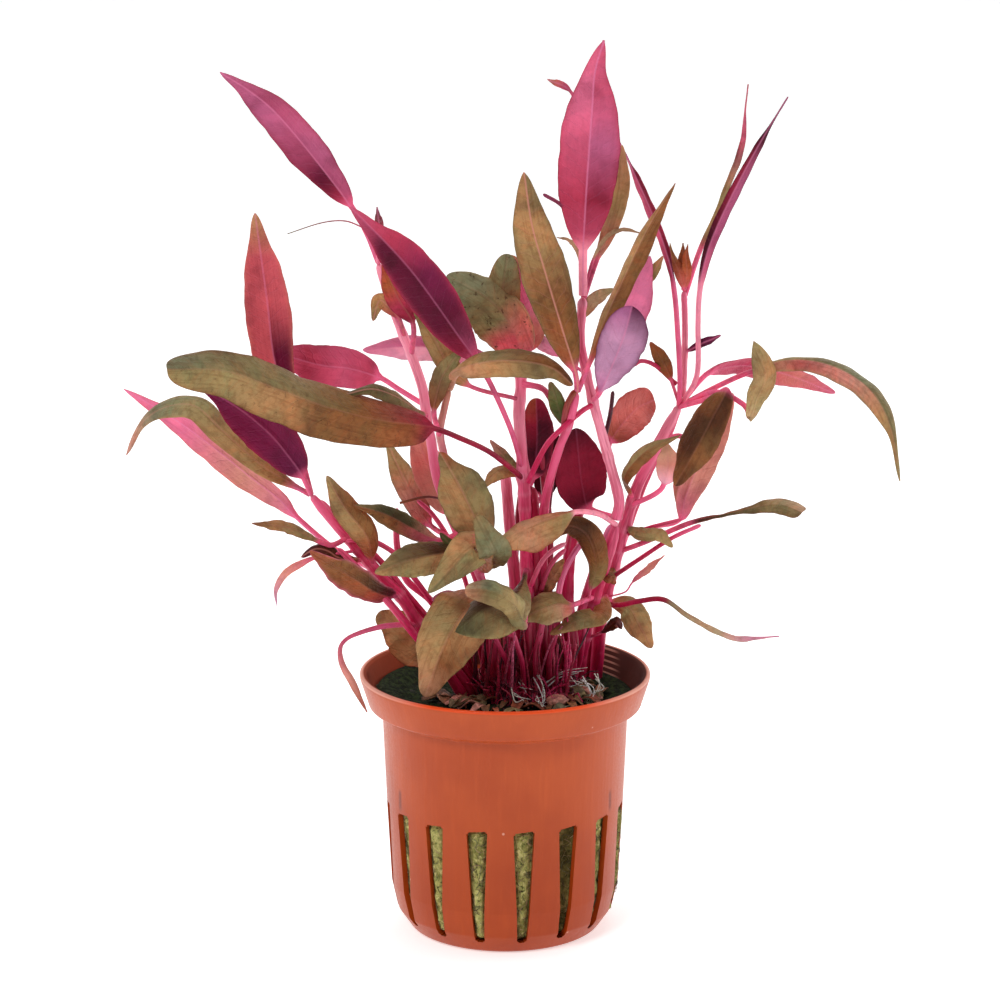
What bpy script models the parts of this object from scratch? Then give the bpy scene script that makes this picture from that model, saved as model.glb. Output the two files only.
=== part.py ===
"""A potted alternanthera: red-stemmed water plant in a slotted plastic net pot.

Lengths are millimetres until the last step, which scales them to metres. The
origin is the centre of the pot's foot, +Z is up and the front faces -Y.

Stems and leaves follow routes chosen by hand on the plant's front picture. A
route's place is (across, down, behind): picture units right and down, and the
millimetres that it lies behind the pot's axis. Function `spot` carries it into
space along the line of sight, so a new depth keeps the front outline.
"""

from collections import namedtuple
from math import cos, log, pi, radians, sin

import bmesh
import bpy
from mathutils import Matrix, Vector

MM = 0.001
GAP = 0.3

# The front picture: where it is seen from, and how many of its units a slope of 1 spans
EYE = Vector((-0.95, -620.0, 228.0))
PITCH = radians(13.15)
FOCAL = 3400.0
CENTRE = 500.0

# The pot
POT_HEIGHT = 50.0
RIM_RADIUS = 27.5
COLLAR_HEIGHT = 6.2
COLLAR_FOOT_RADIUS = 25.8
BODY_TOP_RADIUS = 23.3
BODY_MIDDLE_RADIUS = 22.5
BODY_MIDDLE = 24.0
BODY_LOW_RADIUS = 21.7
BODY_LOW = 9.0
FOOT_BEND_RADIUS = 20.6
FOOT_BEND = 4.0
FOOT_RADIUS = 18.2
WALL = 1.1
FLOOR = 1.4
POT_SIDES = 48
SLOTS = 16
SLOT_FIRST_ANGLE = 9.0
SLOT_TOP = 25.2
SLOT_BOTTOM = 2.6
SLOT_TOP_WIDTH = 4.0
SLOT_BOTTOM_WIDTH = 1.8
SLOT_SKEW = 0.4
SLOT_CUT_FROM = 15.0
SLOT_CUT_TO = 26.0
FLOOR_HOLES = 8
FLOOR_HOLE_RING = 12.5
FLOOR_HOLE_RADIUS = 1.6
FLOOR_HOLE_SIDES = 10

# The rock wool and the stones on it
WOOL_TOP = 44.9
WOOL_SIDES = 28
WOOL_PLAY = 0.75
WOOL_LUMPS = 0.25
WOOL_FOOT_RADIUS = 16.0

# Leaves and stems
STEM_SIDES = 6
STEM_STEPS = 14
BLADE_THICKNESS = 0.5
PETIOLE_RADIUS = 0.5
PETIOLE_TAPER = 0.7
SHORTEST_PETIOLE = 0.04
BLADE_THINS_OVER = 0.2
TIP_HALF_WIDTH = 0.25
TIP_HALF_THICKNESS = 0.15
BROAD = 3.5


def clear_scene():
    for found in list(bpy.data.objects):
        bpy.data.objects.remove(found, do_unlink=True)


def plain_material(name, colour, roughness):
    """A Principled material in one colour."""
    material = bpy.data.materials.new(name)
    material.use_nodes = True
    shader = material.node_tree.nodes["Principled BSDF"]
    shader.inputs["Base Color"].default_value = (*colour, 1.0)
    shader.inputs["Roughness"].default_value = roughness
    shader.inputs["Metallic"].default_value = 0.0
    return material


def add_object(name, mesh_builder, material, smooth=True):
    """Turn a bmesh in millimetres into a named object in metres."""
    bmesh.ops.scale(mesh_builder, vec=(MM, MM, MM), verts=mesh_builder.verts)
    bmesh.ops.recalc_face_normals(mesh_builder, faces=mesh_builder.faces)
    mesh = bpy.data.meshes.new(name)
    mesh_builder.to_mesh(mesh)
    mesh_builder.free()
    if smooth:
        mesh.shade_smooth()
        mesh.set_sharp_from_angle(angle=radians(50))
    thing = bpy.data.objects.new(name, mesh)
    thing.data.materials.append(material)
    bpy.context.scene.collection.objects.link(thing)
    return thing


def spot(across, down, behind):
    """The point in space, in mm, of a place on the front picture."""
    right = (across - CENTRE) / FOCAL
    drop = (down - CENTRE) / FOCAL
    forward = cos(PITCH) - drop * sin(PITCH)
    fall = sin(PITCH) + drop * cos(PITCH)
    reach = (behind - EYE.y) / forward
    return EYE + Vector((right * reach, forward * reach, -fall * reach))


def smooth_route(points, steps):
    """Points at even distances along a smooth curve through the given ones."""
    ends = [points[0] * 2 - points[1]] + list(points) + [points[-1] * 2 - points[-2]]
    lengths = [(b - a).length for a, b in zip(points, points[1:])]
    total = sum(lengths)
    found = []
    for step in range(steps + 1):
        along = total * step / steps
        span = 0
        while span < len(lengths) - 1 and along > lengths[span]:
            along -= lengths[span]
            span += 1
        part = min(along / lengths[span], 1.0)
        before, start, end, after = ends[span : span + 4]
        found.append(
            0.5
            * (
                start * 2
                + (end - before) * part
                + (before * 2 - start * 5 + end * 4 - after) * part**2
                + (start * 3 - before - end * 3 + after) * part**3
            )
        )
    return found


def directions(points):
    """The unit direction of a curve at each of its points."""
    found = []
    for index in range(len(points)):
        ahead = points[min(index + 1, len(points) - 1)]
        back = points[max(index - 1, 0)]
        found.append((ahead - back).normalized())
    return found


def skin_rings(mesh_builder, rings):
    """Join rings of corners into one closed skin with flat ends."""
    made = [[mesh_builder.verts.new(corner) for corner in ring] for ring in rings]
    count = len(made[0])
    for low, high in zip(made, made[1:]):
        for side in range(count):
            after = (side + 1) % count
            mesh_builder.faces.new((low[side], low[after], high[after], high[side]))
    mesh_builder.faces.new(made[0])
    mesh_builder.faces.new(list(reversed(made[-1])))


def turned(profile, sides):
    """A closed solid turned about Z from a profile of (radius, height) corners."""
    mesh_builder = bmesh.new()
    corners = [mesh_builder.verts.new((radius, 0.0, height)) for radius, height in profile]
    edges = [mesh_builder.edges.new(pair) for pair in zip(corners, corners[1:])]
    bmesh.ops.spin(
        mesh_builder,
        geom=corners + edges,
        cent=(0, 0, 0),
        axis=(0, 0, 1),
        angle=2 * pi,
        steps=sides,
        use_merge=True,
    )
    bmesh.ops.remove_doubles(mesh_builder, verts=mesh_builder.verts, dist=1e-5)
    return mesh_builder


# The net pot


def pot_profile():
    """The pot's section from the middle of its floor, out, up and back down inside."""
    collar_foot = POT_HEIGHT - COLLAR_HEIGHT
    return [
        (0.0, 0.0),
        (FOOT_RADIUS - 1.0, 0.0),
        (FOOT_RADIUS, 0.5),
        (FOOT_BEND_RADIUS, FOOT_BEND),
        (BODY_LOW_RADIUS, BODY_LOW),
        (BODY_MIDDLE_RADIUS, BODY_MIDDLE),
        (BODY_TOP_RADIUS, collar_foot - 1.0),
        (COLLAR_FOOT_RADIUS, collar_foot),
        (RIM_RADIUS, POT_HEIGHT - 0.8),
        (RIM_RADIUS, POT_HEIGHT - 0.2),
        (RIM_RADIUS - 0.4, POT_HEIGHT),
        (RIM_RADIUS - 1.3, POT_HEIGHT - 0.3),
        (COLLAR_FOOT_RADIUS - 1.4, collar_foot + 1.0),
        (BODY_TOP_RADIUS - WALL, collar_foot - 2.0),
        (BODY_MIDDLE_RADIUS - WALL, BODY_MIDDLE),
        (BODY_LOW_RADIUS - WALL, BODY_LOW),
        (FOOT_BEND_RADIUS - WALL, FOOT_BEND + 0.2),
        (FOOT_RADIUS - 1.6, FLOOR),
        (0.0, FLOOR),
    ]


def slot_cutter(angle):
    """A wedge that cuts one slot, wide at its top and narrow at its bottom."""
    mesh_builder = bmesh.new()
    corners = []
    for radius in (SLOT_CUT_FROM, SLOT_CUT_TO):
        for height, width in ((SLOT_BOTTOM, SLOT_BOTTOM_WIDTH), (SLOT_TOP, SLOT_TOP_WIDTH)):
            for side in (-0.5, 0.5):
                skew = SLOT_SKEW * side if height == SLOT_TOP else 0.0
                corners.append(mesh_builder.verts.new((side * width, -radius, height + skew)))
    faces = ((0, 1, 3, 2), (4, 6, 7, 5), (0, 4, 5, 1), (2, 3, 7, 6), (0, 2, 6, 4), (1, 5, 7, 3))
    for face in faces:
        mesh_builder.faces.new([corners[index] for index in face])
    turn = Matrix.Rotation(radians(angle), 3, "Z")
    bmesh.ops.rotate(mesh_builder, cent=(0, 0, 0), matrix=turn, verts=mesh_builder.verts)
    return mesh_builder


def floor_hole_cutter(angle):
    """An upright pin that cuts one drain hole in the floor."""
    mesh_builder = bmesh.new()
    bmesh.ops.create_cone(
        mesh_builder,
        cap_ends=True,
        segments=FLOOR_HOLE_SIDES,
        radius1=FLOOR_HOLE_RADIUS,
        radius2=FLOOR_HOLE_RADIUS,
        depth=4 * FLOOR,
    )
    place = Vector((FLOOR_HOLE_RING * sin(angle), -FLOOR_HOLE_RING * cos(angle), 0.0))
    bmesh.ops.translate(mesh_builder, vec=place, verts=mesh_builder.verts)
    return mesh_builder


def make_pot():
    plastic = plain_material("pot_plastic", (0.53, 0.11, 0.05), 0.38)
    pot = add_object("net_pot", turned(pot_profile(), POT_SIDES), plastic)
    cutters = bmesh.new()
    parts = [slot_cutter(SLOT_FIRST_ANGLE + 360.0 / SLOTS * index) for index in range(SLOTS)]
    parts += [floor_hole_cutter(2 * pi * index / FLOOR_HOLES) for index in range(FLOOR_HOLES)]
    for part in parts:
        mesh = bpy.data.meshes.new("cutter_part")
        part.to_mesh(mesh)
        part.free()
        cutters.from_mesh(mesh)
        bpy.data.meshes.remove(mesh)
    cutter = add_object("slot_cutters", cutters, plastic, smooth=False)
    cutter.hide_render = True
    cutter.display_type = "WIRE"
    cut = pot.modifiers.new("slots", "BOOLEAN")
    cut.operation = "DIFFERENCE"
    cut.solver = "EXACT"
    cut.object = cutter


# The rock wool


def wool_ring(radius, height, lumps):
    """A ring of corners that bulges in and out by up to lumps."""
    ring = []
    for side in range(WOOL_SIDES):
        angle = 2 * pi * side / WOOL_SIDES
        lump = lumps * sin(3 * angle + height) * cos(2 * angle)
        ring.append(Vector(((radius + lump) * cos(angle), (radius + lump) * sin(angle), height)))
    return ring


def make_wool():
    """The plug that fills the pot, with a low dome for its top."""
    wool = plain_material("rock_wool", (0.23, 0.22, 0.08), 0.95)
    mesh_builder = bmesh.new()
    inside = [
        (WOOL_FOOT_RADIUS, FLOOR + GAP),
        (FOOT_BEND_RADIUS - WALL - 0.8, FOOT_BEND + 0.4),
        (BODY_LOW_RADIUS - WALL, BODY_LOW),
        (BODY_MIDDLE_RADIUS - WALL, BODY_MIDDLE),
        (BODY_TOP_RADIUS - WALL, POT_HEIGHT - COLLAR_HEIGHT - 2.0),
        (BODY_TOP_RADIUS, WOOL_TOP - 1.1),
    ]
    rings = [wool_ring(radius - WOOL_PLAY, height, WOOL_LUMPS) for radius, height in inside]
    rings.append(wool_ring(0.88 * BODY_TOP_RADIUS, WOOL_TOP - 0.3, WOOL_LUMPS))
    rings.append(wool_ring(0.5 * BODY_TOP_RADIUS, WOOL_TOP, WOOL_LUMPS))
    skin_rings(mesh_builder, rings)
    add_object("rock_wool", mesh_builder, wool)


# Stones lying on the wool: name, (across, down, behind), half sizes, colour
STONES = (
    ("pebble_front", (557, 697, -8.0), (2.1, 1.5, 1.2), (0.42, 0.16, 0.09)),
    ("pebble_right", (575, 688, -2.0), (1.9, 1.4, 1.2), (0.20, 0.17, 0.07)),
)


def make_stones():
    for name, place, halves, colour in STONES:
        mesh_builder = bmesh.new()
        bmesh.ops.create_icosphere(mesh_builder, subdivisions=2, radius=1.0)
        centre = spot(*place)
        centre.z = WOOL_TOP + GAP + halves[2]
        bmesh.ops.scale(mesh_builder, vec=halves, verts=mesh_builder.verts)
        bmesh.ops.translate(mesh_builder, vec=centre, verts=mesh_builder.verts)
        add_object(name, mesh_builder, plain_material(name, colour, 0.6))


# Stems: radius at the foot and at the tip, root on the wool (x, y) or None, route
Stem = namedtuple("Stem", "foot tip root route")

STEMS = {
    "stem_left_tall": Stem(1.05, 0.75, (-2.0, 4.5), (
        (485, 600, 3), (455, 525, 1), (438, 480, 0), (431, 440, -0.5), (427, 420, -0.5),
        (423, 390, 0), (411, 354, 1), (401, 330, 2), (389, 296, 3), (378, 262, 4))),
    "stem_left_short": Stem(0.8, 0.6, (-2.5, -1.5), (
        (492, 620, -3), (475, 560, -5), (455, 500, -6.5), (444, 455, -7), (440, 432, -7),
        (444, 410, -7), (449, 388, -7))),
    "stem_left_low": Stem(1.2, 0.8, (-6.0, -1.0), (
        (450, 665, -3), (420, 626, -6), (401, 597, -7.5), (380, 575, -8.5), (363, 556, -9),
        (338, 527, -9.5), (311, 495, -10))),
    "stem_left_back": Stem(0.75, 0.55, (-6.0, 3.5), (
        (462, 645, 1), (431, 601, -2), (406, 579, -3), (397, 545, -3), (397, 508, -3))),
    "stem_centre": Stem(1.2, 0.95, (5.5, -3.0), (
        (530, 640, -3), (527, 590, -3), (526, 538, -3), (524, 485, -2.5), (521, 445, -2),
        (519, 412, -1), (521, 385, 0), (520, 366, 0))),
    "stem_centre_right": Stem(0.95, 0.7, (9.0, 1.0), (
        (543, 640, 0), (543, 590, -1), (543, 540, -3), (545, 503, -5), (552, 472, -6),
        (560, 446, -7), (569, 424, -8), (577, 392, -8.5))),
    "stem_main": Stem(1.35, 1.1, (14.0, 7.5), (
        (580, 655, 7), (587, 625, 5.5), (593, 600, 4), (605, 562, 2), (616, 525, 0))),
    "stem_main_upper": Stem(0.95, 0.7, None, (
        (616.5, 518, -0.2), (619, 500, -1), (611, 467, -2), (602, 434, -3), (594, 405, -3),
        (586, 372, -2.5), (581, 345, -2), (581, 320, -2), (583, 297, -2))),
    "stem_right": Stem(1.2, 0.9, (17.5, 11.5), (
        (602, 610, 9), (610, 580, 7.5), (617, 555, 6), (626, 522, 4), (638, 485, 3),
        (652, 457, 3), (667, 428, 3), (679, 406, 3))),
    "stem_right_tip": Stem(0.6, 0.5, None, (
        (682.5, 397, 4), (684, 370, 4.5), (685, 330, 4.5), (684, 291, 4.5))),
}


def stem_curve(name):
    """The middle line of a stem, from its foot."""
    stem = STEMS[name]
    points = [spot(*place) for place in stem.route]
    if stem.root is not None:
        points.insert(0, Vector((*stem.root, WOOL_TOP + GAP)))
    return smooth_route(points, min(2 * len(points), STEM_STEPS))


def stem_radius(name, share):
    """A stem's radius at a share of its length."""
    stem = STEMS[name]
    return stem.foot + (stem.tip - stem.foot) * share


def make_stems():
    skin = plain_material("stem_skin", (0.62, 0.05, 0.20), 0.42)
    for name, stem in STEMS.items():
        mesh_builder = bmesh.new()
        points = stem_curve(name)
        ways = directions(points)
        if stem.root is not None:
            ways[0] = Vector((0, 0, 1))
        rings = []
        for index, (point, way) in enumerate(zip(points, ways)):
            radius = stem_radius(name, index / (len(points) - 1))
            side = way.cross(Vector((0, 1, 0))).normalized()
            other = way.cross(side).normalized()
            ring = []
            for step in range(STEM_SIDES):
                angle = 2 * pi * step / STEM_SIDES
                ring.append(point + side * radius * cos(angle) + other * radius * sin(angle))
            rings.append(ring)
        skin_rings(mesh_builder, rings)
        add_object(name, mesh_builder, skin)


FRONT = (0.0, -1.0, 0.0)
UP_FRONT = (0.0, -0.75, 0.66)
DOWN_FRONT = (0.0, -0.9, -0.4)

# Leaves: the stem each grows on, half width, how many places its petiole takes, the way
# that its seen face looks, how far its edges lift (as a share of the half width), its
# widest place and how blunt its ends are, its colour, and its route from the stem
Leaf = namedtuple("Leaf", "stem half_width petiole face lift widest blunt colour route")

LEAVES = {
    "leaf_left_tall_1": Leaf("stem_left_tall", 3.9, 3, (-0.2, -1, -0.3), 0.15, 0.45, 0.8, "purple", (
        (378, 262, 3), (367, 234, 3), (352, 207, 2), (324, 169, 0), (279, 115, -6),
        (248, 89, -10), (220, 72, -15))),
    "leaf_left_tall_2": Leaf("stem_left_tall", 4.1, 3, (0.1, -1, -0.1), 0.1, 0.4, 0.65, "rose", (
        (420, 404, 1), (400, 390, 3), (379, 377, 5), (350, 368, 7), (318, 364, 9),
        (268, 350, 12))),
    "leaf_left_low_1": Leaf("stem_left_low", 4.2, 3, FRONT, 0.1, 0.42, 0.7, "rose", (
        (312, 489, -7.5), (301, 455, -5), (287, 405, -1), (274, 357, 0), (268, 307, -3),
        (262, 262, -7), (255, 213, -13))),
    "leaf_left_low_2": Leaf("stem_left_low", 4.3, 2, (0.2, -1, -0.1), 0.12, 0.45, 0.75, "purple", (
        (310, 490, -12), (303, 477, -13), (290, 458, -14.5), (270, 434, -16), (240, 409, -18),
        (198, 383, -20))),
    "leaf_left_low_3": Leaf("stem_left_low", 2.6, 1, (0, -0.7, 0.7), -0.2, 0.5, 0.7, "olive", (
        (308, 494, -9), (264, 467, -6), (222, 430, -3), (195, 406, 0), (166, 407, 3),
        (142, 423, 5), (126, 455, 7))),
    "leaf_left_low_4": Leaf("stem_left_low", 3.0, 4, DOWN_FRONT, 0.1, 0.45, 0.8, "rose", (
        (369, 570, -5), (347, 556, -2), (328, 544, 1), (298, 518, 5), (280, 498, 8),
        (250, 475, 12), (215, 447, 16), (170, 415, 21), (124, 389, 25))),
    "leaf_centre_1": Leaf("stem_centre", 4.3, 4, (0.3, -1, 0), 0.1, 0.45, 0.8, "purple", (
        (521, 470, -4), (511, 430, -6), (490, 383, -9), (476, 361, -10), (456, 333, -12),
        (435, 303, -15), (412, 272, -18), (387, 244, -21), (350, 207, -26))),
    "leaf_centre_2": Leaf("stem_centre", 5.6, 5, (0.1, -0.8, 0.6), -0.25, 0.48, 0.42, "olive", (
        (521, 480, -5), (507, 465, -7), (488, 451, -9), (462, 439, -12), (432, 428, -14),
        (379, 420, -17), (330, 408, -21), (280, 390, -26), (225, 371, -31), (167, 369, -36))),
    "leaf_centre_3": Leaf("stem_centre", 3.0, 2, DOWN_FRONT, 0.2, 0.5, 0.6, "rose", (
        (518, 372, 2), (490, 358, 6), (440, 347, 10), (400, 346, 13), (363, 350, 16))),
    "leaf_centre_4": Leaf("stem_centre", 6.0, 2, (-0.1, -1, 0.5), -0.2, 0.45, 0.5, "olive", (
        (523, 372, -3), (524, 358, -4), (510, 324, -5), (487, 298, -4), (447, 275, -1))),
    "leaf_centre_5": Leaf("stem_centre", 4.3, 2, (0.2, -1, 0), 0.1, 0.5, 0.6, "rose", (
        (523, 370, 2.5), (527, 352, 3), (527, 320, 3), (520, 285, 3), (508, 255, 3))),
    "leaf_left_short_1": Leaf("stem_left_short", 2.9, 2, (0, -0.8, 0.6), -0.3, 0.45, 0.5, "tan", (
        (450, 386, -8.5), (457, 372, -12), (485, 362, -14.5), (520, 361, -15),
        (552, 368, -14.5), (573, 385, -14))),
    "leaf_main_1": Leaf("stem_main_upper", 5.5, 2, (0, -1, -0.05), 0.12, 0.45, 0.85, "rose", (
        (583, 285, -2), (583, 252, -3), (585, 212, -5), (588, 165, -8), (592, 110, -12),
        (595, 72, -15), (604, 40, -18))),
    "leaf_main_2": Leaf("stem_centre_right", 4.3, 2, (0.2, -1, 0.1), -0.1, 0.5, 0.75, "tan", (
        (577, 385, -11), (575, 372, -12), (561, 325, -13), (546, 275, -12), (532, 225, -10),
        (524, 172, -6))),
    "leaf_main_3": Leaf("stem_centre_right", 2.4, 2, (-0.8, -0.8, 0.2), -0.3, 0.5, 0.8, "tan", (
        (582, 387, -9.5), (588, 366, -11), (604, 322, -11), (624, 278, -9),
        (648, 228, -5), (675, 183, 0))),
    "leaf_main_4": Leaf("stem_main_upper", 4.3, 2, (0.1, -1, 0), 0.1, 0.55, 0.5, "mauve", (
        (596, 401, -6), (600, 392, -10), (612, 365, -14.5), (624, 335, -15), (632, 306, -14))),
    "leaf_right_1": Leaf("stem_right", 1.5, 4, (0.7, -1, 0), 0.3, 0.5, 0.8, "crimson", (
        (679, 398, 1), (680, 380, 0), (678, 338, 0), (674, 290, 0), (664, 250, 2),
        (650, 212, 5), (636, 180, 9), (620, 143, 14))),
    "leaf_right_2": Leaf("stem_right", 1.9, 4, (-0.5, -1, 0), 0.3, 0.35, 0.8, "mauve", (
        (689, 400, 2.5), (697, 375, 2), (698, 324, 2), (700, 290, 2), (709, 250, 3),
        (726, 209, 5), (754, 155, 10), (788, 97, 18))),
    "leaf_right_3": Leaf("stem_right_tip", 1.1, 2, (-0.5, -1, 0), 0.2, 0.5, 0.7, "rose", (
        (686, 296, 6), (700, 250, 8), (722, 200, 12), (741, 150, 17), (745, 112, 21),
        (748, 84, 24))),
    "bud_right": Leaf("stem_right_tip", 2.2, 1, FRONT, 0.2, 0.4, 0.6, "orange", (
        (684, 286, 4.5), (683, 275, 4.5), (683, 260, 4.5), (683, 243, 5))),
    "leaf_right_4": Leaf("stem_right", 3.1, 2, (0, -0.8, -0.6), 0.15, 0.45, 0.6, "rose", (
        (686, 396, 5.5), (708, 373, 9), (735, 364, 13), (765, 367, 18), (800, 378, 24),
        (835, 393, 30))),
    "leaf_right_5": Leaf("stem_right", 2.6, 3, (0.8, -1, 0.2), 0.15, 0.5, 0.5, "tan", (
        (689, 408, 0), (715, 392, -4), (744, 405, -7), (750, 418, -8), (757, 400, -8.5),
        (766, 375, -9), (754, 341, -9))),
    "leaf_right_6": Leaf("stem_right", 3.4, 3, (0, -0.6, 0.8), -0.3, 0.45, 0.7, "olive", (
        (690, 402, 4), (718, 386, 2), (750, 372, -1), (790, 360, -6), (832, 366, -12),
        (869, 389, -18), (890, 426, -23), (900, 481, -27))),
    "leaf_right_7": Leaf("stem_right", 5.0, 3, (-0.3, -0.9, 0.4), -0.2, 0.45, 0.7, "olive", (
        (686, 412, -1), (710, 398, -5), (727, 390, -8), (714, 415, -9.5), (697, 447, -10),
        (675, 486, -9))),
    "leaf_right_8": Leaf("stem_right", 2.4, 2, FRONT, 0.1, 0.5, 0.8, "rose", (
        (664, 442, 6), (680, 436, 7), (690, 450, 7), (688, 480, 6), (680, 520, 4))),
    "leaf_main_7": Leaf("stem_main_upper", 3.7, 2, (0.1, -1, 0.1), 0.1, 0.55, 0.4, "rose", (
        (606, 452, 1), (610, 442, 4), (622, 424, 7), (637, 408, 11), (654, 400, 15))),
    "leaf_main_8": Leaf("stem_main_upper", 5.0, 2, FRONT, 0.1, 0.45, 0.6, "crimson", (
        (600, 512, 3.5), (590, 508, 5), (583, 490, 6), (579, 460, 6), (576, 428, 6))),
    "leaf_centre_6": Leaf("stem_centre", 3.2, 2, FRONT, 0.1, 0.5, 0.45, "crimson", (
        (530, 490, 1), (533, 478, 3), (536, 455, 4), (537, 430, 4.5), (536, 398, 5))),
    "leaf_low_1": Leaf("stem_left_short", 4.7, 2, (0.1, -1, 0.3), -0.1, 0.45, 0.7, "olive", (
        (482, 566, -8), (485, 540, -11), (474, 516, -13), (459, 485, -13), (440, 452, -12))),
    "leaf_low_2": Leaf("stem_main", 3.3, 3, (0, -0.85, 0.5), -0.1, 0.45, 0.75, "tan", (
        (613, 520, -3), (598, 514, -6), (575, 512, -9), (550, 519, -12), (525, 528, -14.5),
        (497, 543, -17))),
    "leaf_low_3": Leaf("stem_left_short", 3.1, 1, (-0.3, -1, 0.3), 0.1, 0.45, 0.7, "tan", (
        (487, 580, -10), (474, 548, -17), (450, 570, -20), (428, 593, -22))),
    "leaf_low_4": Leaf("stem_left_short", 3.2, 2, (0, -0.8, 0.6), -0.2, 0.45, 0.7, "olive", (
        (478, 570, -7), (463, 552, -12), (445, 553, -15), (410, 560, -19), (375, 573, -23))),
    "leaf_low_5": Leaf("stem_left_short", 2.2, 2, (0, -0.8, 0.6), -0.1, 0.45, 0.8, "olive", (
        (464, 534, -8), (440, 540, -9.5), (412, 528, -11), (385, 514, -13), (354, 505, -16))),
    "leaf_left_back_1": Leaf("stem_left_tall", 2.4, 2, (0.2, -1, 0), 0.1, 0.4, 0.6, "tan", (
        (452, 545, 3.5), (430, 525, 5), (415, 500, 7), (402, 475, 10), (387, 441, 15))),
    "leaf_left_low_5": Leaf("stem_left_low", 2.6, 1, (0.2, -1, 0.2), -0.1, 0.5, 0.7, "tan", (
        (380, 560, -11), (367, 537, -14), (345, 508, -16), (327, 476, -19))),
    "leaf_left_low_6": Leaf("stem_left_low", 3.3, 1, (0, -0.9, -0.4), 0.2, 0.45, 0.7, "crimson", (
        (394, 604, -10), (377, 593, -13), (353, 578, -16), (331, 564, -19), (310, 551, -22))),
    "leaf_left_low_7": Leaf("stem_left_low", 1.3, 3, UP_FRONT, 0, 0.5, 0.8, "tan", (
        (346, 540, -11.5), (332, 545, -12), (318, 541, -13), (290, 528, -16), (252, 523, -21))),
    "leaf_low_6": Leaf("stem_left_low", 4.4, 1, (0, -1, 0.2), 0.1, 0.5, 0.5, "tan", (
        (428, 648, 0), (415, 644, 4), (403, 632, 5), (390, 622, 6), (376, 616, 7))),
    "leaf_low_7": Leaf("stem_left_short", 5.9, 1, (-0.1, -1, 0.3), -0.1, 0.45, 0.55, "tan", (
        (484, 602, -9), (470, 606, -13.5), (455, 625, -16), (440, 655, -17.5), (425, 697, -18.5))),
    "leaf_low_8": Leaf("stem_centre", 5.2, 1, (0, -0.6, 0.9), -0.5, 0.5, 0.45, "olive", (
        (526, 572, -6), (520, 590, -14), (506, 600, -20), (480, 612, -23.5), (455, 632, -23.5))),
    "leaf_low_9": Leaf("stem_main", 3.4, 2, UP_FRONT, -0.1, 0.45, 0.6, "olive", (
        (588, 606, -1), (572, 605, -4), (558, 604, -6), (540, 610, -7.5), (522, 619, -8))),
    "leaf_right_low_1": Leaf("stem_right", 2.7, 1, UP_FRONT, -0.1, 0.5, 0.6, "tan", (
        (612, 602, 9), (628, 606, 8), (640, 626, 7), (652, 648, 6))),
    "leaf_right_low_2": Leaf("stem_right", 1.1, 4, (0, -0.7, 0.7), -0.2, 0.5, 0.8, "tan", (
        (608, 612, 5.5), (620, 605, 3), (640, 601, 1), (665, 600, -1), (694, 619, -5),
        (735, 637, -9), (779, 636, -14))),
    "leaf_right_low_3": Leaf("stem_right", 1.9, 1, UP_FRONT, -0.2, 0.5, 0.55, "olive", (
        (628, 530, 2), (643, 532, 0), (660, 534, -2), (673, 547, -3))),
    "leaf_right_low_4": Leaf("stem_right", 1.9, 3, UP_FRONT, -0.2, 0.45, 0.7, "olive", (
        (625, 556, 4), (645, 542, 3), (690, 523, -2), (730, 513, -10), (775, 504, -18),
        (802, 512, -24))),
    "leaf_left_low_8": Leaf("stem_left_low", 0.9, 2, FRONT, 0, 0.5, 0.8, "crimson", (
        (412, 632, -9), (380, 627, -12), (345, 640, -13), (341, 660, -14), (353, 684, -14),
        (367, 712, -14))),
}

LEAF_COLOURS = {
    "olive": (0.20, 0.15, 0.06),
    "tan": (0.34, 0.18, 0.08),
    "rose": (0.52, 0.10, 0.17),
    "mauve": (0.38, 0.14, 0.26),
    "purple": (0.24, 0.02, 0.10),
    "crimson": (0.28, 0.02, 0.06),
    "orange": (0.50, 0.12, 0.06),
}


def petiole_start(stem, toward):
    """Where a petiole leaves its stem: beside the skin, with a small gap."""
    points = stem_curve(stem)
    nearest = min(range(len(points)), key=lambda index: (points[index] - toward).length)
    out = toward - points[nearest]
    clear = stem_radius(stem, nearest / (len(points) - 1)) + PETIOLE_RADIUS + GAP
    if out.length < clear:
        return points[nearest] + out.normalized() * clear
    return toward


def blade_width(share, widest, blunt):
    """A blade's half width from 0 at its base to 1 at its widest and 0 at its tip."""
    bent = share ** (log(0.5) / log(widest))
    return max(4 * bent * (1 - bent), 0.0) ** blunt


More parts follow.
